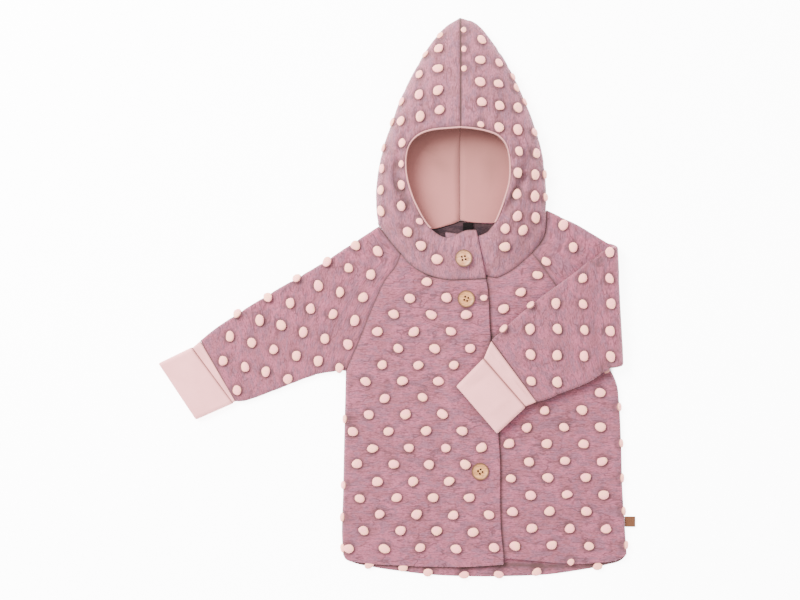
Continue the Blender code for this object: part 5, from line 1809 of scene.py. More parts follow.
def felt_group() -> NodeTree:
    """Pale felt: a soft tone with painted shade that deepens towards the foot, and fine matted
    fibres.

    Returns:
        The node group.
    """
    tree = new_group("Felt",
                     [("Place", "NodeSocketVector", None), ("Tint", "NodeSocketFloat", 1.0),
                      ("Top", "NodeSocketColor", (0.8, 0.65, 0.6, 1)),
                      ("Warm", "NodeSocketColor", (0.75, 0.6, 0.5, 1)),
                      ("Foot", "NodeSocketColor", (0.5, 0.3, 0.3, 1))],
                     [("Color", "NodeSocketColor"), ("Height", "NodeSocketFloat")])
    n = Nodes(tree)
    given, out = tree.nodes["in"].outputs, tree.nodes["out"].inputs
    blotch = n.noise(given["Place"], 130.0, 3.0, 0.6)
    tone = n.blend(n.between(blotch, 0.42, 0.58), given["Top"], given["Warm"])
    # painted shade: the Foot colour towards the bobble's foot, where the Tint input is low
    tone = n.blend(n.between(given["Tint"], 0.10, 0.72, 0.95, 0.0), tone, given["Foot"])
    matted = n.noise(given["Place"], 900.0, 4.0, 0.7)
    fleck = n.between(matted, 0.50, 0.72, 0.0, 0.40)
    tone = n.blend(fleck, tone, given["Foot"])
    tree.links.new(tone, out["Color"])
    tree.links.new(matted, out["Height"])
    return tree


def jersey_group() -> NodeTree:
    """Fine jersey: narrow wales and courses of stitches over a softly uneven tone, with painted
    shade from its Shade input.

    Returns:
        The node group.
    """
    tree = new_group("Jersey",
                     [("Cloth", "NodeSocketVector", None), ("Place", "NodeSocketVector", None),
                      ("Light", "NodeSocketColor", (0.8, 0.6, 0.6, 1)),
                      ("Dark", "NodeSocketColor", (0.6, 0.4, 0.4, 1)),
                      ("Wales", "NodeSocketFloat", 900.0),
                      ("Shade", "NodeSocketFloat", 0.0)],
                     [("Color", "NodeSocketColor"), ("Height", "NodeSocketFloat")])
    n = Nodes(tree)
    given, out = tree.nodes["in"].outputs, tree.nodes["out"].inputs
    soft = n.between(n.noise(given["Place"], 38.0, 3.0, 0.5), 0.3, 0.72, 0.0, 0.12)
    # the Shade input mixes in the dark colour as painted shade
    tone = n.blend(n.math(soft, given["Shade"]), given["Light"], given["Dark"])
    parts = n.add("ShaderNodeSeparateXYZ", None, Vector=given["Cloth"])
    wave = n.math(n.math(parts.outputs["X"], given["Wales"], "MULTIPLY"), 2 * math.pi, "MULTIPLY")
    wale = n.math(wave, operation="SINE")
    rows = n.math(n.math(parts.outputs["Y"], given["Wales"], "MULTIPLY"), 2.6 * math.pi,
                  "MULTIPLY")
    course = n.math(rows, operation="SINE")
    stitch = n.math(n.math(wale, 0.5, "MULTIPLY"), n.math(course, 0.3, "MULTIPLY"))
    tone = n.blend(n.between(stitch, -0.8, 0.2, 0.10, 0.0), tone, given["Dark"])
    fuzz = n.noise(given["Place"], 1500.0, 3.0, 0.6)
    tone = n.blend(n.between(fuzz, 0.55, 0.8, 0.0, 0.15), tone, given["Dark"])
    tree.links.new(tone, out["Color"])
    tree.links.new(n.math(stitch, n.math(fuzz, 0.5, "MULTIPLY")), out["Height"])
    return tree


@dataclass(frozen=True)
class Sheen:
    """Soft light caught by standing fibres."""

    weight: float
    roughness: float
    tint: tuple


def fresh_material(name: str) -> tuple[Material, Nodes, Node]:
    """A new material with its nodes and its Principled shader.

    Args:
        name: The material's name.

    Returns:
        The material, its nodes and the shader.
    """
    material = bpy.data.materials.new(name)
    material.use_nodes = True
    return material, Nodes(material.node_tree), material.node_tree.nodes["Principled BSDF"]


def dress_shader(nodes: Nodes, shader: Node, sheen: Sheen | None, colour: Socket,
                 height: Socket, bump: tuple, rough: float = 0.9,
                 gloss: float = 0.15) -> None:
    """Feeds a shader its colour and bump, and sets its sheen and gloss.

    Args:
        nodes: The material's nodes.
        shader: Its Principled shader.
        sheen: The sheen, or None.
        colour: Base colour.
        height: Bump height.
        bump: Strength and distance of the bump.
        rough: Roughness.
        gloss: Level of its mirror-like share.
    """
    nodes.tree.links.new(colour, shader.inputs["Base Color"])
    node = nodes.add("ShaderNodeBump", None, Strength=bump[0], Distance=bump[1], Height=height)
    nodes.tree.links.new(node.outputs["Normal"], shader.inputs["Normal"])
    shader.inputs["Specular IOR Level"].default_value = gloss
    shader.inputs["Roughness"].default_value = rough
    if sheen:
        shader.inputs["Sheen Weight"].default_value = sheen.weight
        shader.inputs["Sheen Roughness"].default_value = sheen.roughness
        shader.inputs["Sheen Tint"].default_value = (*sheen.tint, 1.0)


@dataclass(frozen=True)
class HeatheredWool:
    """The coat's boiled wool in one of its shades."""

    name: str
    group: NodeTree
    pale: tuple
    middle: tuple
    deep: tuple
    fibre: tuple
    fibre_share: float = 0.5
    sheen: Sheen = Sheen(0.16, 0.5, (1.0, 0.72, 0.78))

    def make(self) -> Material:
        """Makes the material.

        Returns:
            The material.
        """
        material, n, shader = fresh_material(self.name)
        wool = n.add("ShaderNodeGroup", {"node_tree": self.group}, Cloth=n.cloth(),
                     Place=n.place(), Shade=n.mark("tint"), Pale=(*self.pale, 1),
                     Middle=(*self.middle, 1), Deep=(*self.deep, 1), Fibre=(*self.fibre, 1),
                     Fibre_Share=self.fibre_share)
        dress_shader(n, shader, self.sheen, wool.outputs["Color"], wool.outputs["Height"],
                     (0.7, 0.0008))
        n.tree.links.new(wool.outputs["Roughness"], shader.inputs["Roughness"])
        return material


@dataclass(frozen=True)
class Felt:
    """The bobbles' pale felt."""

    name: str
    group: NodeTree
    top: tuple
    warm: tuple
    foot: tuple
    sheen: Sheen = Sheen(0.12, 0.5, (1.0, 0.9, 0.86))

    def make(self) -> Material:
        """Makes the material.

        Returns:
            The material.
        """
        material, n, shader = fresh_material(self.name)
        felt = n.add("ShaderNodeGroup", {"node_tree": self.group}, Place=n.place(),
                     Tint=n.mark("tint"), Top=(*self.top, 1), Warm=(*self.warm, 1),
                     Foot=(*self.foot, 1))
        dress_shader(n, shader, self.sheen, felt.outputs["Color"], felt.outputs["Height"],
                     (0.45, 0.0004), 0.95)
        return material


@dataclass(frozen=True)
class JerseyCloth:
    """Fine jersey in one of its shades."""

    name: str
    group: NodeTree
    light: tuple
    dark: tuple
    wales: float = 900.0
    sheen: Sheen = Sheen(0.2, 0.45, (1.0, 0.93, 0.92))

    def make(self) -> Material:
        """Makes the material.

        Returns:
            The material.
        """
        material, n, shader = fresh_material(self.name)
        knit = n.add("ShaderNodeGroup", {"node_tree": self.group}, Cloth=n.cloth(),
                     Place=n.place(), Shade=n.mark("tint"), Light=(*self.light, 1),
                     Dark=(*self.dark, 1), Wales=self.wales)
        dress_shader(n, shader, self.sheen, knit.outputs["Color"], knit.outputs["Height"],
                     (0.25, 0.0002), 0.85)
        return material


def coconut_shell(name: str, light: tuple, dark: tuple, rim: tuple) -> Material:
    """Turned coconut shell: streaked grain, dark pores and painted shade round its rim.

    Args:
        name: The material's name.
        light: Its lighter tone.
        dark: Its darker tone.
        rim: The tone of its pores and of the painted shade round its rim.

    Returns:
        The material.
    """
    material, n, shader = fresh_material(name)
    place = n.place()
    grain = n.noise(n.stretch(place, (160.0, 900.0, 400.0)), 1.0, 4.0, 0.65, 0.8)
    tone = n.blend(n.between(grain, 0.40, 0.60), (*light, 1), (*dark, 1))
    pores = n.noise(n.stretch(place, (700.0, 2600.0, 900.0)), 1.0, 2.0, 0.5)
    tone = n.blend(n.between(pores, 0.64, 0.72, 0.0, 0.6), tone, (*rim, 1))
    rim_shade = n.mark("rim")
    # painted shade round the button's rim
    tone = n.blend(n.between(rim_shade, 0.1, 0.9, 0.0, 0.92), tone, (*rim, 1))
    dress_shader(n, shader, None, tone, grain, (0.12, 0.0002), 0.45, 0.22)
    return material


def woven_tape(name: str, tone: tuple, thread: tuple) -> Material:
    """Narrow woven tape: crossing threads in a plain weave.

    Args:
        name: The material's name.
        tone: Its tone.
        thread: The tone of its raised threads.

    Returns:
        The material.
    """
    material, n, shader = fresh_material(name)
    place = n.place()
    parts = n.add("ShaderNodeSeparateXYZ", None, Vector=n.stretch(place, (1700.0, 1700.0, 1.0)))
    warp, weft = (n.math(n.math(parts.outputs[axis], 2 * math.pi, "MULTIPLY"),
                         operation="SINE") for axis in "XY")
    weave = n.math(warp, weft, "MULTIPLY")
    fuzz = n.noise(place, 1600.0, 3.0, 0.6)
    tone_out = n.blend(n.between(weave, -0.6, 0.8), (*tone, 1), (*thread, 1))
    tone_out = n.blend(n.between(fuzz, 0.5, 0.8, 0.0, 0.4), tone_out, (*thread, 1))
    dress_shader(n, shader, None, tone_out, weave, (0.5, 0.0002), 0.9, 0.08)
    return material


# boxes of the floor whose glow is turned off, as painted shade under the coat and in the gap
# beside the side tab: middle x and y, half width and depth (frame, mm)
FLOOR_SHADED = (((94.0, -124.0), (146.0, 150.0)), ((72.0, 90.0), (66.0, 120.0)),
                ((-197.0, -81.0), (10.0, 18.0)), ((249.5, -247.15), (3.0, 5.6)))


def floor_material() -> Material:
    """The studio's plain pale floor, lit from below, with painted shade where that light is off
    under the coat and beside its side tab.

    Returns:
        The material.
    """
    material, n, shader = fresh_material("pale_floor")
    place = n.place()
    parts = n.add("ShaderNodeSeparateXYZ", None, Vector=place)
    glow = 1.0
    for middle, reach in FLOOR_SHADED:
        away = []
        for axis, at, half in zip("XY", middle, reach):
            off = n.math(n.math(parts.outputs[axis], -at * MM), operation="ABSOLUTE")
            away.append(n.math(off, 1.0 / (half * MM), "MULTIPLY"))
        beside = n.between(n.math(*away, "MAXIMUM"), 0.96, 1.0)
        glow = n.math(beside, glow, "MULTIPLY")
    n.tree.links.new(n.math(glow, 7.5, "MULTIPLY"), shader.inputs["Emission Strength"])
    shader.inputs["Base Color"].default_value = (0.93, 0.93, 0.93, 1)
    shader.inputs["Emission Color"].default_value = (1.0, 1.0, 1.0, 1)
    shader.inputs["Roughness"].default_value = 0.9
    shader.inputs["Specular IOR Level"].default_value = 0.05
    return material


class Wardrobe:
    """Every finish of the coat, made once."""

    def __init__(self) -> None:
        """Makes the groups and materials."""
        heather, felt, jersey = heather_group(), felt_group(), jersey_group()
        self.body = HeatheredWool("wool_body", heather, (0.214, 0.061, 0.091),
                                  (0.178, 0.053, 0.073), (0.153, 0.056, 0.082),
                                  (0.060, 0.021, 0.026), 0.72).make()
        self.sleeve = HeatheredWool("wool_sleeve", heather, (0.215, 0.060, 0.090),
                                    (0.178, 0.054, 0.075), (0.153, 0.056, 0.082),
                                    (0.064, 0.023, 0.028), 0.7).make()
        self.hood = HeatheredWool("wool_hood", heather, (0.222, 0.074, 0.102),
                                  (0.183, 0.064, 0.082), (0.157, 0.064, 0.090),
                                  (0.068, 0.025, 0.030), 0.65).make()
        # the wool's reverse side, its colour darkened far below the face's to paint the shade
        # under the collar
        self.reverse = HeatheredWool("wool_reverse_shaded", heather, (0.034, 0.016, 0.019),
                                     (0.024, 0.011, 0.013), (0.020, 0.010, 0.013),
                                     (0.008, 0.003, 0.004), 0.5,
                                     Sheen(0.05, 0.5, (1.0, 0.9, 0.9))).make()
        # the felt's last colour: painted shade at the bobbles' feet, and their dark flecks
        self.felt = Felt("bobble_felt", felt, (0.80, 0.285, 0.275), (0.80, 0.345, 0.250),
                         (0.20, 0.080, 0.070)).make()
        self.lining = JerseyCloth("lining_jersey", jersey, (0.278, 0.098, 0.092),
                                  (0.178, 0.068, 0.060)).make()
        # the cuff's dark colour is mostly painted shade, along its fold and its seam
        self.cuff = JerseyCloth("cuff_jersey", jersey, (0.64, 0.262, 0.262),
                                (0.12, 0.040, 0.035)).make()
        self.piping = JerseyCloth("piping_jersey", jersey, (0.42, 0.17, 0.165),
                                  (0.26, 0.10, 0.098), 1400.0).make()
        self.tape = woven_tape("loop_tape", (0.002, 0.001, 0.001), (0.006, 0.004, 0.004))
        self.tab = woven_tape("tab_twill", (0.085, 0.034, 0.016), (0.12, 0.050, 0.027))
        # each shell's last colour: its pores, and the painted shade round its rim
        self.shell_pale = coconut_shell("shell_pale", (0.46, 0.23, 0.13), (0.29, 0.12, 0.05),
                                        (0.050, 0.018, 0.008))
        self.shell_tan = coconut_shell("shell_tan", (0.43, 0.20, 0.080), (0.26, 0.10, 0.035),
                                       (0.050, 0.018, 0.007))
        # near-black thread, which also stands in for the shade in the holes
        self.thread = woven_tape("thread_and_hole_shade", (0.006, 0.003, 0.003), (0.015, 0.007, 0.006))


# ---- small parts
def select_only(piece: Piece) -> None:
    """Makes one object the only one selected, and the active one.

    Args:
        piece: The object.
    """
    bpy.ops.object.select_all(action="DESELECT")
    piece.select_set(True)
    bpy.context.view_layer.objects.active = piece


def joined(pieces: list[Piece]) -> Piece:
    """Joins objects into the first of them.

    Args:
        pieces: The objects.

    Returns:
        The one that is left.
    """
    select_only(pieces[0])
    for piece in pieces:
        piece.select_set(True)
    bpy.ops.object.join()
    return bpy.context.object


def bake_place(piece: Piece) -> None:
    """Moves an object's place, turn and size into its mesh."""
    select_only(piece)
    bpy.ops.object.transform_apply(location=True, rotation=True, scale=True)


def fresh_block(name: str, size: tuple, place: tuple, cuts: int) -> Piece:
    """A block of many small faces, to be shaped point by point.

    Args:
        name: The piece's name.
        size, place: Its size and its middle, in metres.
        cuts: How often each edge is cut.

    Returns:
        The block, with its place in its mesh.
    """
    bpy.ops.object.select_all(action="DESELECT")
    bpy.ops.mesh.primitive_cube_add(size=1.0)
    block = bpy.context.object
    block.name = block.data.name = name
    block.scale, block.location = size, place
    bake_place(block)
    bpy.ops.object.mode_set(mode="EDIT")
    bpy.ops.mesh.select_all(action="SELECT")
    bpy.ops.mesh.subdivide(number_cuts=cuts)
    bpy.ops.object.mode_set(mode="OBJECT")
    return block


def soften_edges(piece: Piece, width: float, steps: int, corner: float, smooth: float) -> None:
    """Rounds a piece's sharp edges and smooths its faces.

    Args:
        piece: The piece.
        width: Width of the rounding, in metres.
        steps: How many faces it takes.
        corner: The least angle that is rounded, in degrees.
        smooth: Faces that meet at less than this, in degrees, are shaded as one.
    """
    select_only(piece)
    edge = piece.modifiers.new("soft edge", "BEVEL")
    edge.width, edge.segments = width, steps
    edge.limit_method, edge.angle_limit = "ANGLE", math.radians(corner)
    bpy.ops.object.modifier_apply(modifier=edge.name)
    bpy.ops.object.shade_smooth_by_angle(angle=math.radians(smooth))


def tie(piece: Piece, material: Material, node: str) -> Piece:
    """Gives a finished part its material and ties it to the frame.

    Args:
        piece: The part.
        material: Its material.
        node: The CAD node that it replaces.

    Returns:
        The same part.
    """
    piece.data.materials.clear()
    piece.data.materials.append(material)
    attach(piece, "root")
    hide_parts(node)
    LOG.info("%s: %d faces", piece.name, len(piece.data.polygons))
    return piece


@dataclass
class TurnedCuff:
    """A long jersey cuff turned back on itself."""

    name: str
    lines: list
    floor: float
    material: Material
    rests_on: tuple
    creases: tuple = ()
    sides: int = 150
    seed: int = 70

    def ring(self, position: float, low: float, high: float, widen: float) -> Array:
        """A flattened ring of the cuff.

        Args:
            position: Place between the cuff's three lines.
            low, high: Heights of its underside and top.
            widen: How far each edge stands out.

        Returns:
            Points round the ring, from its lower corner over the underside.
        """
        first = min(int(position), 1)
        share = position - first
        upper, lower = (np.array(self.lines[first]) * (1 - share)
                        + np.array(self.lines[first + 1]) * share)
        across = (lower - upper) / np.linalg.norm(lower - upper)
        upper, lower = upper - across * widen, lower + across * widen
        radius = (high - low) / 2
        middle = self.floor + (high + low) / 2
        straight = np.linalg.norm(lower - upper) - 2 * radius
        arc = 10
        flat = (self.sides - 2 * arc) // 2
        points = []
        for end, start, sign in ((lower - across * radius, -90.0, 1.0),
                                 (upper + across * radius, 90.0, -1.0)):
            for step in range(arc):
                angle = math.radians(start + 180.0 * step / arc)
                plan = end + across * radius * math.cos(angle)
                points.append((*plan, middle + radius * math.sin(angle)))
            for step in range(flat):
                plan = end - across * sign * straight * step / flat
                points.append((*plan, middle + radius * sign))
        return np.array(points)

    def build(self) -> Piece:
        """Returns:
            The cuff.
        """
        table = np.array(CUFF_SKIN)
        fine = []
        for one, two in zip(table, table[1:]):
            count = max(1, round(abs(two[0] - one[0]) * 28))
            fine += [one + (two - one) * k / count for k in range(count)]
        fine.append(table[-1])
        grid = np.array([self.ring(*row) for row in fine])
        runs = stations(grid.mean(axis=1))
        run = runs[-1]
        uv = np.array([np.column_stack([stations(np.vstack([ring, ring[:1]])),
                                        np.full(len(ring) + 1, along)])
                       for ring, along in zip(grid, runs)])
        positions = np.array([row[0] for row in fine])[:, None]
        folded = np.arange(len(positions))[:, None] < len(positions) / 2
        # painted shade along the foot of the turned-back edge, and beside the seam at the sleeve
        shade = 0.95 * np.exp(-((positions - 0.967) / 0.05) ** 2) * folded
        shade = shade + 0.5 * np.exp(-((positions - 0.03) / 0.08) ** 2) * folded
        grid = self.soften(grid)
        build = WallBuilder()
        numbers = build.add_points(grid, np.broadcast_to(shade, grid.shape[:2]))
        numbers = np.concatenate([numbers, numbers[:, :1]], axis=1)
        numbers = np.concatenate([numbers, numbers[:1]], axis=0)
        uv = np.concatenate([uv, uv[:1] + np.array([0.0, run + 3.0])], axis=0)
        build.add_grid(numbers, uv, Finish.CLOTH, False)
        piece = build.make(self.name + "_jersey", [self.material])
        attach(piece, "root")
        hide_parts(self.name)
        return piece

    def soften(self, grid: Array) -> Array:
        """Adds the jersey's slack: a soft swell and a fold line along the underlayer.

        Args:
            grid: The skin's points, row by row.

        Returns:
            The points with it.
        """
        swell = 0.3 * SoftNoise(self.seed, 16.0).at(grid)
        moved = grid.copy()
        for crease in self.creases:
            swell = swell + crease.height(grid[..., 0:2])
        top = grid[..., 2] > self.floor + 5.5
        moved[..., 2] += np.where(top, swell, 0.0)
        return moved


@dataclass
class BrimPiping:
    """The narrow piping that finishes the hood's brim on one half."""

    name: str
    hood: HoodSurface
    last_ray: float
    material: Material
    radius: float = 0.95
    sides: int = 8

    def build(self) -> Piece:
        """Sweeps a small round section along the brim.

        Returns:
            The piping.
        """
        u = np.linspace(0.0, self.last_ray * HoodSurface.ray_step, 150)
        ray = self.hood.ray(u)
        outward = ray[:, 3:5] - ray[:, 0:2]
        outward /= np.linalg.norm(outward, axis=1, keepdims=True)
        plan = ray[:, 0:2] - outward * 0.15
        plan[:, 0] = np.where(plan[:, 0] * self.hood.sign < 0.1, self.hood.sign * 0.1, plan[:, 0])
        middle = np.column_stack([plan, ray[:, 2] - BRIM_TUCK - 0.35])
        angles = 2 * np.pi * np.arange(self.sides) / self.sides
        out = np.column_stack([outward, np.zeros(len(u))])
        rings = (middle[:, None] + out[:, None] * np.cos(angles)[None, :, None] * self.radius
                 + np.array([0, 0, 1.0]) * np.sin(angles)[None, :, None] * self.radius)
        build = WallBuilder()
        numbers = build.add_points(rings)
        loop = np.concatenate([numbers, numbers[:, :1]], axis=1)
        uv = np.stack(np.broadcast_arrays(np.arange(self.sides + 1) * 0.7,
                                          stations(middle)[:, None]), -1)
        flip = self.hood.sign < 0
        build.add_grid(loop, uv, Finish.CLOTH, flip)
        ends = [numbers[0] if flip else numbers[0, ::-1],
                numbers[-1, ::-1] if flip else numbers[-1]]
        for end in ends:
            fan = [(end[0], end[k], end[k + 1]) for k in range(1, self.sides - 1)]
            build.add_faces(np.array(fan), np.zeros((len(fan), 3, 2)), Finish.CLOTH)
        piece = build.make(self.name, [self.material])
        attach(piece, "root")
        return piece


@dataclass
class ShellButton:
    """A four-hole coconut button, turned with a dished face and a raised rim."""

    node: str
    material: Material
    thread: Material
    turn: float

    def build(self) -> Piece:
        """Models the button in edit mode at its place and replaces its node.

        Returns:
            The button.
        """
        low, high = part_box(self.node)
        middle = (low + high) / 2
        radius, thick = BUTTON_ACROSS / 2 * MM, BUTTON_THICK * MM
        bpy.ops.object.select_all(action="DESELECT")
        bpy.ops.mesh.primitive_cylinder_add(vertices=64, radius=radius, depth=thick,
                                            location=(0, 0, thick / 2))
        button = bpy.context.object
        button.name = button.data.name = self.node + "_shell"
        bpy.ops.object.mode_set(mode="EDIT")
        self.pick_face(button, 1.0)
        for inset, sink in ((0.00075, 0.0), (0.0007, -0.00005), (0.0011, -0.00075),
                            (0.0011, -0.0003), (0.0016, 0.0), (0.002, 0.0)):
            bpy.ops.mesh.inset(thickness=inset, depth=0.0)
            bpy.ops.transform.translate(value=(0, 0, sink))
        self.pick_face(button, -1.0)
        for inset in (0.0009, 0.0012):
            bpy.ops.mesh.inset(thickness=inset, depth=0.0)
        bpy.ops.object.mode_set(mode="OBJECT")
        self.drill(button)
        soften_edges(button, 0.00045, 3, 38, 32)
        button.rotation_euler = (0, 0, self.turn)
        button.location = (middle.x, middle.y, low.z)
        bake_place(button)
        self.mark_rim(button, middle)
        self.sew_on(middle, low.z)
        return tie(button, self.material, self.node)

    @staticmethod
    def pick_face(button: Piece, way: float) -> None:
        """Selects the button's end face that looks up or down.

        Args:
            button: The button.
            way: 1 for the face that looks up and -1 for the other.
        """
        form = bmesh.from_edit_mesh(button.data)
        for face in form.faces:
            face.select_set(face.normal.z * way > 0.9)
        bmesh.update_edit_mesh(button.data)

    @staticmethod
    def drill(button: Piece) -> None:
        """Cuts the four holes.

        Args:
            button: The button.
        """
        cutters = []
        for x, y in HOLES:
            bpy.ops.object.select_all(action="DESELECT")
            bpy.ops.mesh.primitive_cylinder_add(vertices=20, radius=HOLE_RADIUS * MM, depth=0.02,
                                                location=(x * MM, y * MM, 0.0))
            cutters.append(bpy.context.object)
        cutter = joined(cutters)
        select_only(button)
        holes = button.modifiers.new("holes", "BOOLEAN")
        holes.object = cutter
        holes.operation = "DIFFERENCE"
        bpy.ops.object.modifier_apply(modifier=holes.name)
        bpy.data.objects.remove(cutter, do_unlink=True)

    @staticmethod
    def mark_rim(button: Piece, middle: Vector) -> None:
        """Marks how near each point is to the rim, for the painted shade there.

        Args:
            button: The button.
            middle: The button's middle.
        """
        layer = button.data.attributes.new("rim", "FLOAT", "POINT")
        for vertex, mark in zip(button.data.vertices, layer.data):
            out = math.hypot(vertex.co.x - middle.x, vertex.co.y - middle.y) / MM
            mark.value = max(0.0, min(1.0, (out - 6.9) / 2.2))

    def sew_on(self, middle: Vector, floor: float) -> None:
        """Adds the thread that fills the holes, near black so that it also paints the shade in
        them.

        Args:
            middle: The button's middle.
            floor: Height of the dish's floor.
        """
        knots = []
        for x, y in HOLES:
            bpy.ops.object.select_all(action="DESELECT")
            bpy.ops.mesh.primitive_uv_sphere_add(segments=12, ring_count=8,
                                                 radius=KNOT_RADIUS * MM, location=(0, 0, 0))
            knot = bpy.context.object
            knot.scale = (1.0, 1.0, 0.8)
            spot = Matrix.Rotation(self.turn, 3, "Z") @ Vector((x * MM, y * MM, 0))
            knot.location = (middle.x + spot.x, middle.y + spot.y, floor + 0.75 * MM)
            bake_place(knot)
            knots.append(knot)
        thread = joined(knots)
        thread.name = thread.data.name = self.node + "_thread"
        thread.data.materials.clear()
        thread.data.materials.append(self.thread)
        bpy.ops.object.shade_smooth()
        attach(thread, "root")


@dataclass
class NeckLoop:
    """The tape loop at the back of the neck."""

    material: Material
    place: tuple = (8.6, 373.2)
    size: tuple = (10.6, 10.8, 1.0)
    rise: float = 1.6

    def build(self) -> Piece:
        """Bends a strip of tape over its low arch.

        Returns:
            The loop.
        """
        across, deep, thick = self.size
        loop = fresh_block("neck_loop_tape", (across * MM, deep * MM, thick * MM), (0, 0, 0), 11)
        centre = in_frame((*self.place, 0.0))
        for vertex in loop.data.vertices:
            share = vertex.co.y / (deep * MM) + 0.5
            lift = WOOL + REST_GAP + thick / 2 + self.rise * math.sin(math.pi * share)
            edge = 1.0 - (abs(vertex.co.x) / (across * MM / 2)) ** 6 * 0.25
            vertex.co.z = vertex.co.z * edge + lift * MM
            vertex.co.x += centre[0]
            vertex.co.y += centre[1]
        soften_edges(loop, 0.15 * MM, 2, 50, 40)
        return tie(loop, self.material, "neck_loop")


@dataclass
class SideTab:
    """The small bare tab of folded twill in the side seam."""

    material: Material

    def build(self) -> Piece:
        """Models the folded tab inside its solid's box.

        Returns:
            The tab.
        """
        low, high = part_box("side_label")
        size = high - low
        tab = fresh_block("side_tab", size, (low + high) / 2, 7)
        for vertex in tab.data.vertices:
            share = (vertex.co.x - low.x) / size.x
            vertex.co.z -= 0.1 * MM * math.sin(math.pi * 2 * share)
        soften_edges(tab, 0.35 * MM, 3, 50, 40)
        return tie(tab, self.material, "side_label")


# ---- creases
RIGHT_FRONT_CREASES = (
    Crease(((-60, 300), (-30, 292), (5, 296)), 0.7, 6.0),
    Crease(((-110, 205), (-70, 196), (-20, 200)), 0.6, 5.0),
    Crease(((-100, 120), (-40, 112), (20, 118)), 0.5, 7.0),
    Crease(((-118, 60), (-60, 52), (-10, 58)), 0.45, 6.0),
    Crease(((-60, 150), (-35, 160), (0, 158)), -0.45, 5.0))
LEFT_FRONT_CREASES = (
    Crease(((70, 150), (110, 158), (165, 152)), 0.5, 6.0),
    Crease(((60, 60), (100, 52), (150, 58)), 0.5, 7.0),
    Crease(((80, 105), (120, 98), (160, 104)), -0.4, 6.0))
RIGHT_SLEEVE_CREASES = (
    Crease(((-110, 330), (-120, 290), (-138, 250)), 0.7, 6.0),
    Crease(((-160, 320), (-168, 280), (-180, 240)), 0.55, 5.0),
    Crease(((-215, 290), (-214, 250), (-220, 210)), 0.5, 5.0),
    Crease(((-255, 265), (-250, 235), (-250, 200)), 0.6, 4.5))
LEFT_SLEEVE_CREASES = (
    Crease(((120, 372), (132, 330), (150, 290)), 0.6, 6.0),
    Crease(((150, 320), (146, 270), (150, 225)), 0.6, 6.0),
    Crease(((110, 305), (112, 260), (122, 205)), 0.5, 5.0),
    Crease(((70, 275), (80, 240), (98, 200)), 0.5, 5.0))
HOOD_RIGHT_CREASES = (
    Crease(((-78, 470), (-70, 424), (-56, 397), (-42, 383)), 1.9, 4.6),
    Crease(((-62, 470), (-60, 440), (-50, 412), (-40, 398)), -0.8, 4.0),
    Crease(((-40, 560), (-48, 520), (-60, 480)), 0.6, 6.0),
    Crease(((-75, 440), (-72, 410), (-66, 385)), 0.7, 5.0),
    Crease(((-60, 372), (-46, 352), (-28, 338)), 0.8, 5.0),
    Crease(((-30, 350), (-10, 342), (12, 342)), 0.5, 5.0))
HOOD_LEFT_CREASES = (
    Crease(((77, 470), (74, 446), (64, 418), (53, 398), (44, 386)), 1.9, 4.6),
    Crease(((64, 462), (62, 440), (54, 414), (46, 400)), -0.8, 4.0),
    Crease(((92, 392), (80, 370), (68, 352)), 1.2, 4.0),
    Crease(((40, 540), (50, 510), (62, 480)), 0.6, 6.0),
    Crease(((78, 430), (74, 400), (66, 375)), 0.8, 5.5),
    Crease(((66, 366), (56, 350), (40, 338)), 0.7, 5.0))
LEFT_CUFF_CREASES = (
    Crease(((60, 205), (70, 196), (80, 185)), 1.3, 2.2),
    Crease(((52, 214), (62, 200), (72, 188)), -0.9, 2.4),
    Crease(((30, 240), (36, 235), (42, 226)), 1.1, 2.2),
    Crease(((38, 236), (46, 225), (54, 215)), 0.8, 2.4),
    Crease(((8, 196), (22, 205), (34, 216)), 0.6, 4.0),
    Crease(((30, 168), (44, 180), (56, 188)), -0.5, 4.0))
RIGHT_CUFF_CREASES = (
    Crease(((-262, 207), (-256, 197), (-250, 186)), 1.1, 2.2),
    Crease(((-290, 240), (-283, 231), (-277, 221)), 1.0, 2.2),
    Crease(((-325, 214), (-310, 204), (-296, 192)), 0.6, 4.0),
    Crease(((-312, 226), (-300, 216), (-286, 203)), -0.5, 4.0))
LINING_FOLDS_RIGHT = (Crease(((-38, 470), (-29, 455), (-20, 436)), 2.4, 4.5),
                      Crease(((-43, 440), (-40, 420), (-34, 396)), -1.0, 5.0),
                      Crease(((-40, 425), (-33, 404), (-26, 388)), 1.2, 6.0))
LINING_FOLDS_LEFT = (Crease(((28, 458), (36, 434), (36, 405)), 1.5, 6.0),
                     Crease(((14, 452), (20, 430), (22, 404)), -0.9, 6.0),
                     Crease(((8, 420), (13, 400), (12, 387)), 0.8, 5.0))


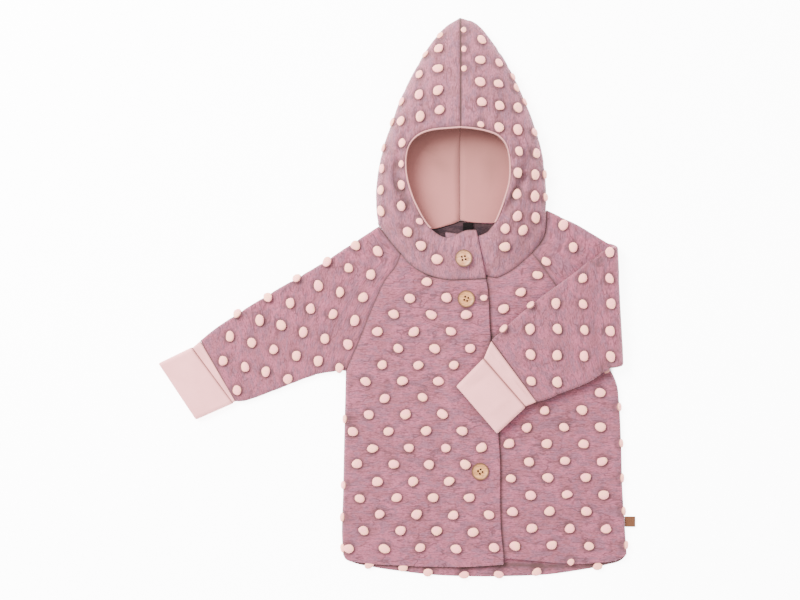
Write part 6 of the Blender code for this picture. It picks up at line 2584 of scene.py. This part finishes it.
# ---- the coat
class Coat:
    """The whole coat, piece by piece."""

    def __init__(self, finishes: Wardrobe) -> None:
        """Keeps the finishes and the hood halves' forms.

        Args:
            finishes: The materials by their use.
        """
        self.finishes = finishes
        self.hood_right = HoodSurface(HOOD_RIGHT_RAYS)
        self.hood_left = HoodSurface(HOOD_LEFT_RAYS)

    def build(self) -> None:
        """Builds every piece in order."""
        self.back()
        self.fronts()
        self.sleeves()
        self.hood()
        self.lining()
        self.cuffs()
        self.small_parts()

    def rim(self, hood: HoodSurface, first: float, last: float) -> list:
        """The hood's rim seen from above, between two of its rays.

        Args:
            hood: The half of the hood.
            first: The ray where it begins.
            last: The ray where it ends.

        Returns:
            Its points.
        """
        rays = np.linspace(first, last, round(abs(last - first) * 6) + 1)
        places = hood.at(rays * hood.ray_step, np.full(len(rays), CROWN_RUN))
        return places[:, 0:2].tolist()

    def neck_seam(self, hood: HoodSurface) -> list:
        """Where half of the hood ends beneath, from the shoulder to the middle.

        Args:
            hood: The half of the hood.

        Returns:
            Its points.
        """
        shares = np.linspace(0.0, 1.0, 9)
        rays = SHOULDER_RAY + (NECK_RAY - SHOULDER_RAY) * shares
        runs = CROWN_RUN + (TURN_RUN + UNDER_RUN) * shares
        return hood.at(rays * hood.ray_step, runs)[:, 0:2].tolist()

    def back(self) -> None:
        """The back panel, its longer hem seen below the fronts."""
        hem_spots = ((-99.7, 2.2), (-62.4, -0.6), (-35.1, -6.4), (4.6, -8.8), (42.8, -8.6),
                     (84.7, -5.6), (151.5, 0.6))
        bobbles = [Bobble((x, y, WOOL), (0, 0, 1), (1, 0.1, 0), 5.9, 4.6, 2.4)
                   for x, y in hem_spots]
        wool = [self.finishes.body, self.finishes.felt, self.finishes.reverse]
        neck = self.neck_seam(self.hood_right) + self.neck_seam(self.hood_left)[-2::-1]
        neck = [(x, y - NECK_EASE) for x, y in neck[1:-1]]
        Panel("back_wool", ("back",), "wool", wool, FlatSurface(WOOL), 1.0, WOOL,
              Relief(10, swell=0.1), "laid", (), extra_bobbles=bobbles,
              bottom=Line.through(BACK_HEM), top=Line.through(neck),
              left=Line.through(SIDE_RIGHT[::-1], RAGLAN_RIGHT[::-1],
                                [NECK_RIGHT[2], NECK_RIGHT[1], neck[0]]),
              right=Line.through(SIDE_LEFT[::-1], RAGLAN_LEFT[::-1], [NECK_LEFT[1], neck[-1]]),
              pitch=2.6, free=("bottom",), reverse_above=200.0,
              # painted shadow below the fronts' hems
              shades=((HEM_RIGHT, 3.0, 0.9), (HEM_LEFT, 3.0, 0.9))).build()

    def fronts(self) -> None:
        """Both fronts, the right lapping over the left."""
        wool = [self.finishes.body, self.finishes.felt]
        under = [(x - LAP, y) for x, y in LAP_EDGE[1:]]
        left, right = FrontSurface(SIDE_LEFT, 1, False), FrontSurface(SIDE_RIGHT, -1, True)
        Panel("front_left_wool", ("front_left",), "wool", wool, left, 1.0, WOOL,
              Relief(14, LEFT_FRONT_CREASES), "laid", ("back",), bobbled=True,
              extra_bobbles=side_bobbles(left, (176.0, 136.4, 97.9, 61.6, 24.2)),
              # painted shadow beside the lap edge and under the folded forearm's and the cuff's
              # edges
              seam_line_and_shade=0.5, shades=((LAP_EDGE, 3.2, 0.85), (FOREARM_EDGE, 4.0, 0.5),
                                     (FOREARM_TOP, 3.5, 0.5), (CUFF_EDGE, 3.5, 0.45)),
              bottom=Line.through(HEM_LEFT),
              top=Line.through(NECK_LEFT[:4:-1] + self.rim(self.hood_left, 15.6, 12.0)),
              left=Line.through(under[::-1] + [NECK_LEFT[-1]]),
              right=Line.through(SIDE_LEFT[::-1], RAGLAN_LEFT[::-1]),
              free=("bottom", "left")).build()
        Panel("front_right_wool", ("front_right",), "wool", wool, right, 1.0, WOOL,
              Relief(17, RIGHT_FRONT_CREASES), "laid", ("back", "front_left_wool"),
              bobbled=True, extra_bobbles=side_bobbles(right, (162.8, 90.2, 55.0, 21.0)),
              # painted shadow under the folded forearm's and the cuff's edges
              seam_line_and_shade=0.5, shades=((FOREARM_TOP, 3.5, 0.5), (CUFF_EDGE, 3.5, 0.45)),
              bottom=Line.through(HEM_RIGHT),
              top=Line.through(self.rim(self.hood_right, 13.0, 18.0)),
              left=Line.through(SIDE_RIGHT[::-1], RAGLAN_RIGHT[::-1]),
              right=Line.through([LAP_FOOT] + LAP_EDGE[::-1]),
              free=("bottom", "right")).build()

    def sleeves(self) -> None:
        """Both sleeves, the left one folded over the chest."""
        wool = [self.finishes.sleeve, self.finishes.felt]
        seam = Line.through(self.rim(self.hood_right, 11.0, 13.0), RAGLAN_RIGHT)
        Sleeve("sleeve_right_wool", ("sleeve_right",), "wool", wool,
               TubeSurface(RIGHT_SLEEVE_RINGS, seam), -1.0, WOOL,
               Relief(21, RIGHT_SLEEVE_CREASES, course=75.0), "laid", (),
               bobbled=True).build()
        seam = Line.through([HOOD_SIDE_LEFT[0]] + self.rim(self.hood_left, 9.2, 12.0),
                            RAGLAN_LEFT)
        Sleeve("sleeve_left_wool", ("sleeve_left",), "wool", wool,
               TubeSurface(fold_rings(), seam), 1.0, WOOL,
               Relief(24, LEFT_SLEEVE_CREASES, course=80.0), "folded",
               ("front_left_wool", "front_right_wool"), bobbled=True,
               under_pitch=1.5).build()

    def hood(self) -> None:
        """Both halves of the hood with their collar."""
        wool = [self.finishes.hood, self.finishes.felt]
        cut = seam_bobbles(self.hood_left, (588.5, 567.0, 545.4))
        for name, surface, side, creases, seed, extra in (
                ("hood_left", self.hood_left, 1.0, HOOD_LEFT_CREASES, 31, cut),
                ("hood_right", self.hood_right, -1.0, HOOD_RIGHT_CREASES, 36, [])):
            FanPiece(name + "_wool", (name,), "wool", wool, surface, side, WOOL,
                     Relief(seed, creases, course=90.0, seam_reach=2.6), "laid", (),
                     bobbled=True, extra_bobbles=extra, seam_line_and_shade=0.72).build()

    def lining(self) -> None:
        """The jersey lining of the hood, with the piping along its brim."""
        for name, surface, side, last, folds, seed in (
                ("hood_lining_left", self.hood_left, 1.0, 10.0, LINING_FOLDS_LEFT, 41),
                ("hood_lining_right", self.hood_right, -1.0, 11.5, LINING_FOLDS_RIGHT, 46)):
            piping = BrimPiping(name.replace("lining", "piping"), surface, last,
                                self.finishes.piping).build()
            FanPiece(name + "_jersey", (name,), "lining", [self.finishes.lining],
                     LiningSurface(surface), side, JERSEY,
                     Relief(seed, folds, seam_depth=0.12, seam_reach=1.0, edge_round=0.4,
                            swell=0.5), "laid", (), trims=[piping],
                     last_ray=last, corner_ray=last, bends=(0.0, DROP_RUN + BAG_RUN),
                     end=DROP_RUN + BAG_RUN + FLOOR_RUN, columns=110, rows=40,
                     seam_line_and_shade=0.25,
                     under_shares=(0.03, 0.08, 0.15, 0.25, 0.37, 0.5, 0.62, 0.74, 0.86, 0.94,
                                   1.0), brim_is_free=True, shade_from=405.0).build()

    def cuffs(self) -> None:
        """Both jersey cuffs."""
        TurnedCuff("cuff_right", CUFF_RIGHT_LINES, 0.0, self.finishes.cuff, (),
                   RIGHT_CUFF_CREASES, seed=71).build()
        TurnedCuff("cuff_left", CUFF_LEFT_LINES, SLEEVE_FLOOR - 1.0, self.finishes.cuff,
                   ("front_right_wool",), LEFT_CUFF_CREASES, seed=75).build()

    def small_parts(self) -> None:
        """Buttons, the loop at the neck and the side tab."""
        for node, shell, turn in (("button_top", self.finishes.shell_pale, 0.2),
                                  ("button_middle", self.finishes.shell_tan, -0.35),
                                  ("button_bottom", self.finishes.shell_tan, 0.6)):
            ShellButton(node, shell, self.finishes.thread, turn).build()
        NeckLoop(self.finishes.tape).build()
        SideTab(self.finishes.tab).build()


# ---- studio
@dataclass(frozen=True)
class Studio:
    """A pale floor, soft light and a camera straight above the coat."""

    camera_high: float = 1.96
    camera_over: tuple = (-66.0, 293.7)
    lens: float = 80.0

    def build(self) -> None:
        """Adds the floor, the lights and the camera."""
        bpy.ops.object.select_all(action="DESELECT")
        bpy.ops.mesh.primitive_plane_add(size=12.0, location=(0, 0, -0.0003))
        floor = bpy.context.object
        floor.name = "studio_floor"
        floor.data.materials.append(floor_material())
        world = bpy.data.worlds.new("soft_room")
        bpy.context.scene.world = world
        world.use_nodes = True
        sky = world.node_tree.nodes["Background"]
        sky.inputs["Color"].default_value = (1.0, 1.0, 1.0, 1.0)
        sky.inputs["Strength"].default_value = 2.6
        self.softbox("key", (-1.1, 0.9, 1.5), 1.1, 185.0)
        self.softbox("fill", (1.3, 0.2, 1.6), 1.5, 16.0)
        spot = in_frame((*self.camera_over, 0.0))
        camera = bpy.data.cameras.new("camera_above")
        camera.lens = self.lens
        camera.sensor_width = 36.0
        camera.clip_start = 0.05
        holder = bpy.data.objects.new("camera_above", camera)
        holder.location = (spot[0], spot[1], self.camera_high)
        bpy.context.scene.collection.objects.link(holder)
        bpy.context.scene.camera = holder

    @staticmethod
    def softbox(name: str, place: tuple, size: float, watts: float) -> None:
        """Adds a large square light that looks at the coat.

        Args:
            name: Its name.
            place: Where it hangs, in metres.
            size: The length of its edge, in metres.
            watts: Its strength.
        """
        lamp = bpy.data.lights.new(name, "AREA")
        lamp.size = size
        lamp.energy = watts
        holder = bpy.data.objects.new(name, lamp)
        holder.location = place
        holder.rotation_euler = Vector(place).to_track_quat("Z", "Y").to_euler()
        bpy.context.scene.collection.objects.link(holder)


def write_sizes() -> None:
    """Brings the view layer up to date."""
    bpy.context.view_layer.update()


def main() -> None:
    """Builds the studio and the coat."""
    logging.basicConfig(level=logging.INFO, format="%(message)s")
    Studio().build()
    Coat(Wardrobe()).build()
    write_sizes()


if __name__ == "__main__":
    main()
